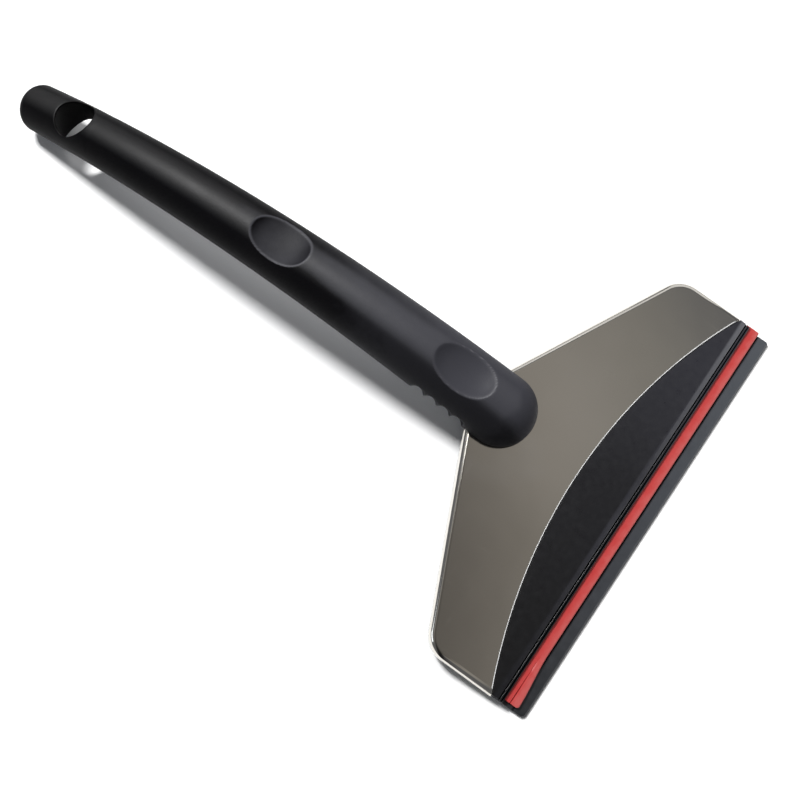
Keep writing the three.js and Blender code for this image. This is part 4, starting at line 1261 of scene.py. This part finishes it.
# %% Bottom plate
UNDERSIDE, PLATE_TOP, SLOT_FLOOR, PLATE_EDGE = -0.9, 0.7, -0.3, 0.3
JAW_FRONT, JAW_CHAMFER, JAW_KEY = SLOT_REAR - 2.2, 0.6, SLOT_REAR - 1.5
JAW_REAR = SLOT_REAR + 2 * PLATE_EDGE
PLATE_SCREW_HEAD, PLATE_SCREW_HEIGHT, PLATE_SCREW_SHANK = 2.1, 1.1, 1
PLATE_SCREW_SEAT, CONE_PLAY, CUT_PAST = UNDERSIDE + 0.2, 0.12, 1
FRONT_ROW, REAR_ROW = SLOT_REAR + 6.8, SHOULDER_DEPTH + 7.7
FRONT_REACH, REAR_REACH = 64, 40.04
PLATE_SCREWS = [(FRONT_ROW, FRONT_REACH * (2 * k / 3 - 1)) for k in range(4)]
PLATE_SCREWS += [(REAR_ROW, side * REAR_REACH) for side in (-1, 1)]

bottom_plate = plate_piece(
    "bottom_plate_moulding", INSIDE_STEEL, SLOT_REAR, UNDERSIDE, PLATE_TOP, head_finish,
)
softened(bottom_plate, PLATE_EDGE)
jaw_profile = np.concatenate([
    [(JAW_FRONT, SLOT_FLOOR), (JAW_FRONT, UNDERSIDE + JAW_CHAMFER / 2), (JAW_FRONT + JAW_CHAMFER, UNDERSIDE)],
    [(JAW_REAR, UNDERSIDE), (JAW_REAR, SLOT_FLOOR)],
    key_points(JAW_KEY, SLOT_FLOOR, KEY_HEIGHT),
])
jaw_ends = [profile_points(jaw_profile, side * BLADE_LENGTH / 2) for side in (-1, 1)]
jaw = new_piece("jaw", np.concatenate(jaw_ends), solid_faces(2, len(jaw_profile)), head_finish)
combined(bottom_plate, [jaw], "UNION")
cone_start = PLATE_SCREW_SEAT + CONE_PLAY
head_room, shank_room = PLATE_SCREW_HEAD + CLEARANCE, PLATE_SCREW_SHANK + CLEARANCE
sink = [
    (UNDERSIDE - CUT_PAST, head_room), (cone_start, head_room),
    (cone_start + PLATE_SCREW_HEIGHT, shank_room), (PLATE_TOP + CUT_PAST, shank_room),
]
sinks = [
    turned_piece("sink", np.array([-depth, y, 0]), (1, 0, 0), np.array([0, 0, 1]), sink, head_finish)
    for depth, y in PLATE_SCREWS
]
combined(bottom_plate, sinks, "DIFFERENCE")
print("bottom plate faces:", len(bottom_plate.data.polygons))

# %% [markdown]
# Geometry Nodes make a mesh from a rule with named inputs, and the same rule makes the next piece from
# other inputs. The trees could be drawn in the editor, but built here they can be read line by line. The
# helpers start a tree, add a node with its sockets filled, and turn what a tree makes into a plain mesh,
# because the finished pieces keep no modifiers.

# %% Helpers for Geometry Nodes
def new_tree(name, inputs):
    """A tree with a geometry input, these named inputs and a geometry output."""
    tree = bpy.data.node_groups.new(name, "GeometryNodeTree")
    for label, kind in [("Geometry", "Geometry"), *inputs]:
        tree.interface.new_socket(label, in_out="INPUT", socket_type="NodeSocket" + kind)
    tree.interface.new_socket("Geometry", in_out="OUTPUT", socket_type="NodeSocketGeometry")
    return tree, tree.nodes.new("NodeGroupInput").outputs, tree.nodes.new("NodeGroupOutput").inputs


def node_in(tree, kind, sockets, **settings):
    """Adds a node, sets its settings and fills its sockets, and gives its first output."""
    node = tree.nodes.new(kind)
    for setting, value in settings.items():
        setattr(node, setting, value)
    for socket, value in sockets.items():
        for source in value if isinstance(value, list) else [value]:
            feed(tree, node.inputs[socket], source)
    return node.outputs[0]


def grown(name, start, tree, values):
    """A new object whose plain mesh a tree makes from a start mesh and the named inputs."""
    piece = bpy.data.objects.new(name, start)
    bpy.context.scene.collection.objects.link(piece)
    rule = piece.modifiers.new(tree.name, "NODES")
    rule.node_group = tree
    for socket in tree.interface.items_tree:
        if socket.in_out == "INPUT" and socket.name in values:
            rule[socket.identifier] = values[socket.name]
    applied(piece)
    return piece


print("node tree helpers ready")

# %% [markdown]
# Both strips follow the slot, so one tree sweeps a profile along a line. It then moves points: they are
# gathered towards the ends, the front corners are pulled back in an arc, and at one end the front can be
# pushed out and creased, as happens to soft rubber that has been shoved about. A loft in the script would
# do too, but here each of these is one named input.

# %% Node tree of a strip
STRIP_SIZES = (
    "Length", "Front from", "Near corner", "Far corner", "Push", "Push reach",
    "Crease place", "Crease width", "Crease depth",
)


def strip_tree():
    tree, given, result = new_tree("strip", [
        *((label, "Float") for label in STRIP_SIZES), ("Segments", "Int"), ("Finish", "Material"),
    ])
    half = math_in(tree, "MULTIPLY", given["Length"], 0.5)
    start = node_in(tree, "ShaderNodeCombineXYZ", {"Y": math_in(tree, "MULTIPLY", half, -1.0)})
    end = node_in(tree, "ShaderNodeCombineXYZ", {"Y": half})
    line = node_in(tree, "GeometryNodeCurvePrimitiveLine", {"Start": start, "End": end})
    path = node_in(tree, "GeometryNodeResampleCurve", {"Curve": line, "Count": given["Segments"]})
    profile = node_in(tree, "GeometryNodeMeshToCurve", {"Mesh": given["Geometry"]})
    swept = node_in(tree, "GeometryNodeCurveToMesh", {
        "Curve": path, "Profile Curve": profile, "Fill Caps": True,
    })

    split = tree.nodes.new("ShaderNodeSeparateXYZ")
    feed(tree, split.inputs[0], node_in(tree, "GeometryNodeInputPosition", {}))
    x, y, z = split.outputs
    # Times (3 - share squared) / 2, the ends stay in place and the points between move towards them.
    share = math_in(tree, "DIVIDE", y, half)
    bend = math_in(tree, "SUBTRACT", 3.0, math_in(tree, "MULTIPLY", share, share))
    gathered = math_in(tree, "MULTIPLY", y, math_in(tree, "MULTIPLY", bend, 0.5))
    spaced = node_in(tree, "GeometryNodeSetPosition", {
        "Geometry": swept, "Position": node_in(tree, "ShaderNodeCombineXYZ", {"X": x, "Y": gathered, "Z": z}),
    })

    near = math_in(tree, "LESS_THAN", y, 0.0)
    difference = math_in(tree, "SUBTRACT", given["Near corner"], given["Far corner"])
    corner = math_in(tree, "ADD", given["Far corner"], math_in(tree, "MULTIPLY", near, difference))
    past = math_in(tree, "SUBTRACT", math_in(tree, "ABSOLUTE", y), math_in(tree, "SUBTRACT", half, corner))
    past = math_in(tree, "MAXIMUM", past, 0.0)
    squares = [math_in(tree, "MULTIPLY", value, value) for value in (corner, past)]
    inner = math_in(tree, "SQRT", math_in(tree, "MAXIMUM", math_in(tree, "SUBTRACT", *squares), 0.0))
    back = math_in(tree, "SUBTRACT", corner, inner)
    reach = given["Push reach"]
    near_end = math_in(tree, "SUBTRACT", math_in(tree, "SUBTRACT", reach, half), y)
    near_end = math_in(tree, "DIVIDE", near_end, reach)
    pushed = range_in(tree, near_end, 0.0, 1.0, 0.0, 1.0, "SMOOTHSTEP")
    forward = math_in(tree, "SUBTRACT", math_in(tree, "MULTIPLY", given["Push"], pushed), back)
    front = math_in(tree, "GREATER_THAN", x, given["Front from"])
    off_crease = math_in(tree, "ABSOLUTE", math_in(tree, "SUBTRACT", x, given["Crease place"]))
    dent = range_in(tree, off_crease, 0.0, given["Crease width"], given["Crease depth"], 0.0)
    move = node_in(tree, "ShaderNodeCombineXYZ", {
        "X": math_in(tree, "MULTIPLY", forward, front),
        "Z": math_in(tree, "MULTIPLY", math_in(tree, "MULTIPLY", dent, pushed), -1.0),
    })
    shaped = node_in(tree, "GeometryNodeSetPosition", {"Geometry": spaced, "Offset": move})
    real = node_in(tree, "GeometryNodeRealizeInstances", {"Geometry": shaped})
    finished = node_in(tree, "GeometryNodeSetMaterial", {"Geometry": real, "Material": given["Finish"]})
    feed(tree, result["Geometry"], finished)
    return tree


strip_rule = strip_tree()
print("nodes of the strip's tree:", len(strip_rule.nodes))

# %% [markdown]
# The blade is slate rubber with a slanted front edge. The red strip lies on it, ends a little behind it
# and has one pushed end. A plain box would do from afar, but the edges are what one sees from close up,
# so each profile is an outline with rounded edges and the groove for its key. The tree gives a strip
# square to the head in millimetres, and its points are then brought into the shared frame like all the
# others.

# %% Blade and red strip
STRIP_REAR, STRIP_SEGMENTS = SLOT_REAR - CLEARANCE, 141
BLADE_THICKNESS, BLADE_LEAN, BLADE_CORNER, FAR_CORNER, BLADE_FRONT_PART = 1.6, 0.9, 1.5, 0.3, 4.0
BLADE_NOSE = [(0.05, 0.12), (0.12, 0.05), (0.3, 0)]
BLADE_BROW = [(0.25, 0), (0, -0.08), (-0.1, -0.3)]
RUB_LINE, RUB_WIDTH, RUB_DEPTH, RUB_SOFT = 5.1, 0.65, 0.3, 0.1
RED_BOTTOM, RED_TOP, RED_FRONT, RED_EDGE, RED_FRONT_PART = 1.9, 3.1, 5.7, 0.6, 0.9
RED_SHORT, RED_SHIFT, RED_CORNER, RED_CHAMFER = 0.8, 1.04, 0.9, (0.5, 0.3)
RED_PUSH, RED_PUSH_REACH, RED_EDGE_STEPS = 1.5, 22, 6
CREASE_PLACE, CREASE_WIDTH, CREASE_DEPTH, CREASE_REACH = 7.7, 0.25, 0.7, 0.6


def strip_piece(name, profile, shift, values):
    """A strip from an outline of depths and levels, moved along the blade by a shift."""
    start = bpy.data.meshes.new(name)
    count = len(profile)
    start.from_pydata(
        [(-depth, -level, 0) for depth, level in profile], [(k, (k + 1) % count) for k in range(count)], [],
    )
    piece = grown(name, start, strip_rule, {"Segments": STRIP_SEGMENTS, **values})
    mesh = piece.data
    mesh.vertices.foreach_set("co", placed(corners_of(mesh) + np.array([0, shift, 0])).ravel())
    finish_mesh(mesh)
    return piece


RUB_REAR, RUB_FLOOR = RUB_LINE + RUB_WIDTH, BLADE_THICKNESS - RUB_DEPTH
blade_profile = np.concatenate([
    BLADE_NOSE, key_points(JAW_KEY, SLOT_FLOOR, KEY_HEIGHT, CLEARANCE)[::-1],
    [(STRIP_REAR, 0), (STRIP_REAR, BLADE_THICKNESS), (RUB_REAR + RUB_SOFT, BLADE_THICKNESS)],
    [(RUB_REAR, RUB_FLOOR), (RUB_LINE, RUB_FLOOR), (RUB_LINE - RUB_SOFT, BLADE_THICKNESS)],
    [(BLADE_LEAN + back, BLADE_THICKNESS + rise) for back, rise in BLADE_BROW],
])
blade_profile[:, 1] = np.maximum(blade_profile[:, 1], 0)
# The blade is neither pushed nor creased. A reach and a width of 1 only keep the tree from dividing by zero.
blade = strip_piece("blade_strip", blade_profile, 0, {
    "Length": BLADE_LENGTH, "Front from": -BLADE_FRONT_PART, "Near corner": BLADE_CORNER,
    "Far corner": FAR_CORNER, "Push reach": 1.0, "Crease width": 1.0, "Finish": blade_finish,
})
# Painted shade: the floor of the rubbed line, under the red strip's front edge, gets the number that paints
# it dark.
corners = square_to_head(corners_of(blade.data))
in_line = np.abs(-corners[:, 0] - (RUB_LINE + RUB_REAR) / 2) < RUB_WIDTH
store_number(blade.data, "painted_shade", in_line & (np.abs(corners[:, 2] - RUB_FLOOR) < TOUCH / 2))

crease = (-CREASE_REACH, -CREASE_WIDTH, 0, CREASE_WIDTH, CREASE_REACH)
red_key = np.minimum(key_points(LIP_KEY, SLOT_ROOF, -KEY_HEIGHT, CLEARANCE)[::-1], (STRIP_REAR, RED_TOP))
red_profile = np.concatenate([
    [(RED_FRONT + RED_CHAMFER[0], RED_BOTTOM), (RED_FRONT, RED_BOTTOM + RED_CHAMFER[1])],
    quarter(RED_FRONT, RED_TOP - RED_EDGE, RED_EDGE, RED_EDGE, RED_EDGE_STEPS),
    [(CREASE_PLACE + away, RED_TOP) for away in crease], red_key,
    [(STRIP_REAR, RED_TOP), (STRIP_REAR, RED_BOTTOM)],
])
red = strip_piece("red_rubber_strip", red_profile, RED_SHIFT, {
    "Length": BLADE_LENGTH - RED_SHORT, "Front from": -RED_FRONT - RED_FRONT_PART,
    "Near corner": RED_CORNER, "Far corner": FAR_CORNER, "Push": RED_PUSH, "Push reach": RED_PUSH_REACH,
    "Crease place": -CREASE_PLACE, "Crease width": CREASE_WIDTH, "Crease depth": CREASE_DEPTH,
    "Finish": red_finish,
})
print("strip faces:", len(blade.data.polygons), len(red.data.polygons))

# %% [markdown]
# Screws repeat, so one tree makes them all: cones are stacked to a head, a shank and a point, a cross is
# cut into the head, and a copy is set on each point of a mesh, turned into the direction that the point
# carries and spun by chance with a fixed seed. Copies could be placed one by one, but the tree needs only
# a list of places.

# %% Node tree of the screws
SCREW_SIZES = (
    "Face radius", "Edge radius", "Edge height", "Neck radius", "Head height", "Shank radius", "Shank length",
    "Point length", "Cross length", "Cross width", "Cross depth",
)
WELD_DISTANCE = 1e-6


def screw_tree():
    tree, given, result = new_tree("screws", [
        *((label, "Float") for label in SCREW_SIZES),
        ("Sides", "Int"), ("Seed", "Int"), ("Finish", "Material"),
    ])
    shank_end = math_in(tree, "ADD", given["Head height"], given["Shank length"])
    under_edge = math_in(tree, "SUBTRACT", given["Head height"], given["Edge height"])
    sections = [
        (given["Face radius"], given["Edge radius"], 0.0, given["Edge height"]),
        (given["Edge radius"], given["Neck radius"], given["Edge height"], under_edge),
        (given["Neck radius"], given["Shank radius"], given["Head height"], 0.0),
        (given["Shank radius"], given["Shank radius"], given["Head height"], given["Shank length"]),
        (given["Shank radius"], 0.0, shank_end, given["Point length"]),
    ]
    face = node_in(tree, "GeometryNodeMeshCircle", {
        "Vertices": given["Sides"], "Radius": given["Face radius"],
    }, fill_type="NGON")
    skins = [node_in(tree, "GeometryNodeFlipFaces", {"Mesh": face})]
    for bottom, top, start, height in sections:
        cone = node_in(tree, "GeometryNodeMeshCone", {
            "Vertices": given["Sides"], "Radius Bottom": bottom, "Radius Top": top, "Depth": height,
        }, fill_type="NONE")
        lift = node_in(tree, "ShaderNodeCombineXYZ", {"Z": start})
        skins.append(node_in(tree, "GeometryNodeTransform", {"Geometry": cone, "Translation": lift}))
    skin = node_in(tree, "GeometryNodeJoinGeometry", {"Geometry": skins})
    screw = node_in(tree, "GeometryNodeMergeByDistance", {"Geometry": skin, "Distance": WELD_DISTANCE})

    deep = math_in(tree, "MULTIPLY", given["Cross depth"], 2.0)
    bars = [
        node_in(tree, "GeometryNodeMeshCube", {
            "Size": node_in(tree, "ShaderNodeCombineXYZ", {"X": given[wide], "Y": given[long], "Z": deep}),
        })
        for wide, long in (("Cross length", "Cross width"), ("Cross width", "Cross length"))
    ]
    screw = node_in(tree, "GeometryNodeMeshBoolean", {
        "Mesh 1": screw, "Mesh 2": bars,
    }, operation="DIFFERENCE", solver="EXACT")

    direction = node_in(tree, "GeometryNodeInputNamedAttribute", {
        "Name": "direction",
    }, data_type="FLOAT_VECTOR")
    standing = node_in(tree, "FunctionNodeAlignRotationToVector", {"Vector": direction}, axis="Z")
    chance = tree.nodes.new("FunctionNodeRandomValue")
    chance.data_type = "FLOAT"
    # The node has sockets for every kind of data. For floats, input 3 is the maximum and output 1 the value.
    feed(tree, chance.inputs[3], math.tau)
    feed(tree, chance.inputs["Seed"], given["Seed"])
    spin = node_in(tree, "FunctionNodeAxisAngleToRotation", {"Axis": (0, 0, 1), "Angle": chance.outputs[1]})
    turned = node_in(tree, "FunctionNodeRotateRotation", {
        "Rotation": standing, "Rotate By": spin,
    }, rotation_space="LOCAL")
    copies = node_in(tree, "GeometryNodeInstanceOnPoints", {
        "Points": given["Geometry"], "Instance": screw, "Rotation": turned,
    })
    real = node_in(tree, "GeometryNodeRealizeInstances", {"Geometry": copies})
    finished = node_in(tree, "GeometryNodeSetMaterial", {"Geometry": real, "Material": given["Finish"]})
    feed(tree, result["Geometry"], finished)
    return tree


screw_rule = screw_tree()
print("nodes of the screws' tree:", len(screw_rule.nodes))

# %% [markdown]
# The handle's four screws have a round head and the plate's six a countersunk one. Both kinds come from
# the same tree, and only the inputs differ. Each place carries its direction as an attribute: the
# handle's screws follow its bent axis, and the plate's all stand square to the head.

# %% Screws of the handle and of the bottom plate
HANDLE_SEED, PLATE_SEED = 4, 9
HEAD_BOTTOM, HEAD_TOP, SHANK_TOP = -10.3, -8.5, 2.7
PLATE_HEAD_EDGE, SHANK_PLAY = 0.05, 0.02


def screws_piece(name, places, sizes, seed):
    """Screws at (place, direction) pairs square to the head, from sizes in millimetres."""
    feet, ups = (np.array(column, float) for column in zip(*places))
    start = bpy.data.meshes.new(name)
    start.from_pydata([tuple(p) for p in placed(feet)], [], [])
    direction = placed(feet + ups) - placed(feet)
    stored = start.attributes.new("direction", "FLOAT_VECTOR", "POINT")
    stored.data.foreach_set("vector", direction.ravel())
    values = {label: size / 1000 for label, size in sizes.items()}
    values.update({"Sides": ROUND_SIDES, "Seed": seed, "Finish": screw_finish})
    piece = grown(name, start, screw_rule, values)
    finish_mesh(piece.data, smooth_below=30)
    return piece


handle_places = []
for station in HANDLE_SCREWS:
    centre, _, up = axis_at(station)
    handle_places.append((centre + HEAD_BOTTOM * up, up))
handle_screws = screws_piece("handle_screws", handle_places, {
    "Face radius": 2.1, "Edge radius": HANDLE_SCREW_HEAD, "Edge height": 0.8,
    "Neck radius": HANDLE_SCREW_HEAD, "Head height": HEAD_TOP - HEAD_BOTTOM,
    "Shank radius": 1.3, "Shank length": SHANK_TOP - HEAD_TOP,
    "Point length": 1.3, "Cross length": 2.8, "Cross width": 0.7, "Cross depth": 1.0,
}, HANDLE_SEED)
plate_places = [((-depth, y, PLATE_SCREW_SEAT), (0, 0, 1)) for depth, y in PLATE_SCREWS]
plate_screws = screws_piece("plate_screws", plate_places, {
    "Face radius": PLATE_SCREW_HEAD, "Edge radius": PLATE_SCREW_HEAD - PLATE_HEAD_EDGE,
    "Edge height": PLATE_HEAD_EDGE, "Neck radius": PLATE_SCREW_SHANK, "Head height": PLATE_SCREW_HEIGHT,
    "Shank radius": PLATE_SCREW_SHANK - SHANK_PLAY, "Shank length": 2.3, "Point length": 0.3,
    "Cross length": 2.2, "Cross width": 0.55, "Cross depth": 0.7,
}, PLATE_SEED)
print("screw faces:", len(handle_screws.data.polygons), len(plate_screws.data.polygons))

# %% [markdown]
# Every finished piece now says which solids it stands for and which body it moves with. The two strips
# ride on bodies of their own, because they can be drawn out of the slot. Everything else is one rigid
# body.

# %% Say which solids each piece stands for
BODY = "scraper"
for piece, body, slot, nodes in (
    (handle_body, BODY, "handle_plastic", ["handle_body"]),
    (cover, BODY, "handle_plastic", ["handle_bottom_cover"]),
    (steel, BODY, "polished_steel", ["steel_cover"]),
    (carrier, BODY, "head_plastic", ["head_carrier"]),
    (bottom_plate, BODY, "head_plastic", ["head_bottom_plate"]),
    (handle_screws, BODY, "screw_steel", [f"handle_screw_{k + 1}" for k in range(len(HANDLE_SCREWS))]),
    (plate_screws, BODY, "screw_steel", [f"plate_screw_{k + 1}" for k in range(len(PLATE_SCREWS))]),
    (blade, "blade", "blade_rubber", ["scraper_blade"]),
    (red, "strip", "red_rubber", ["red_strip"]),
):
    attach(piece, body)
    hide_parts(*nodes)
    print(piece.name, "stands for", ", ".join(nodes))
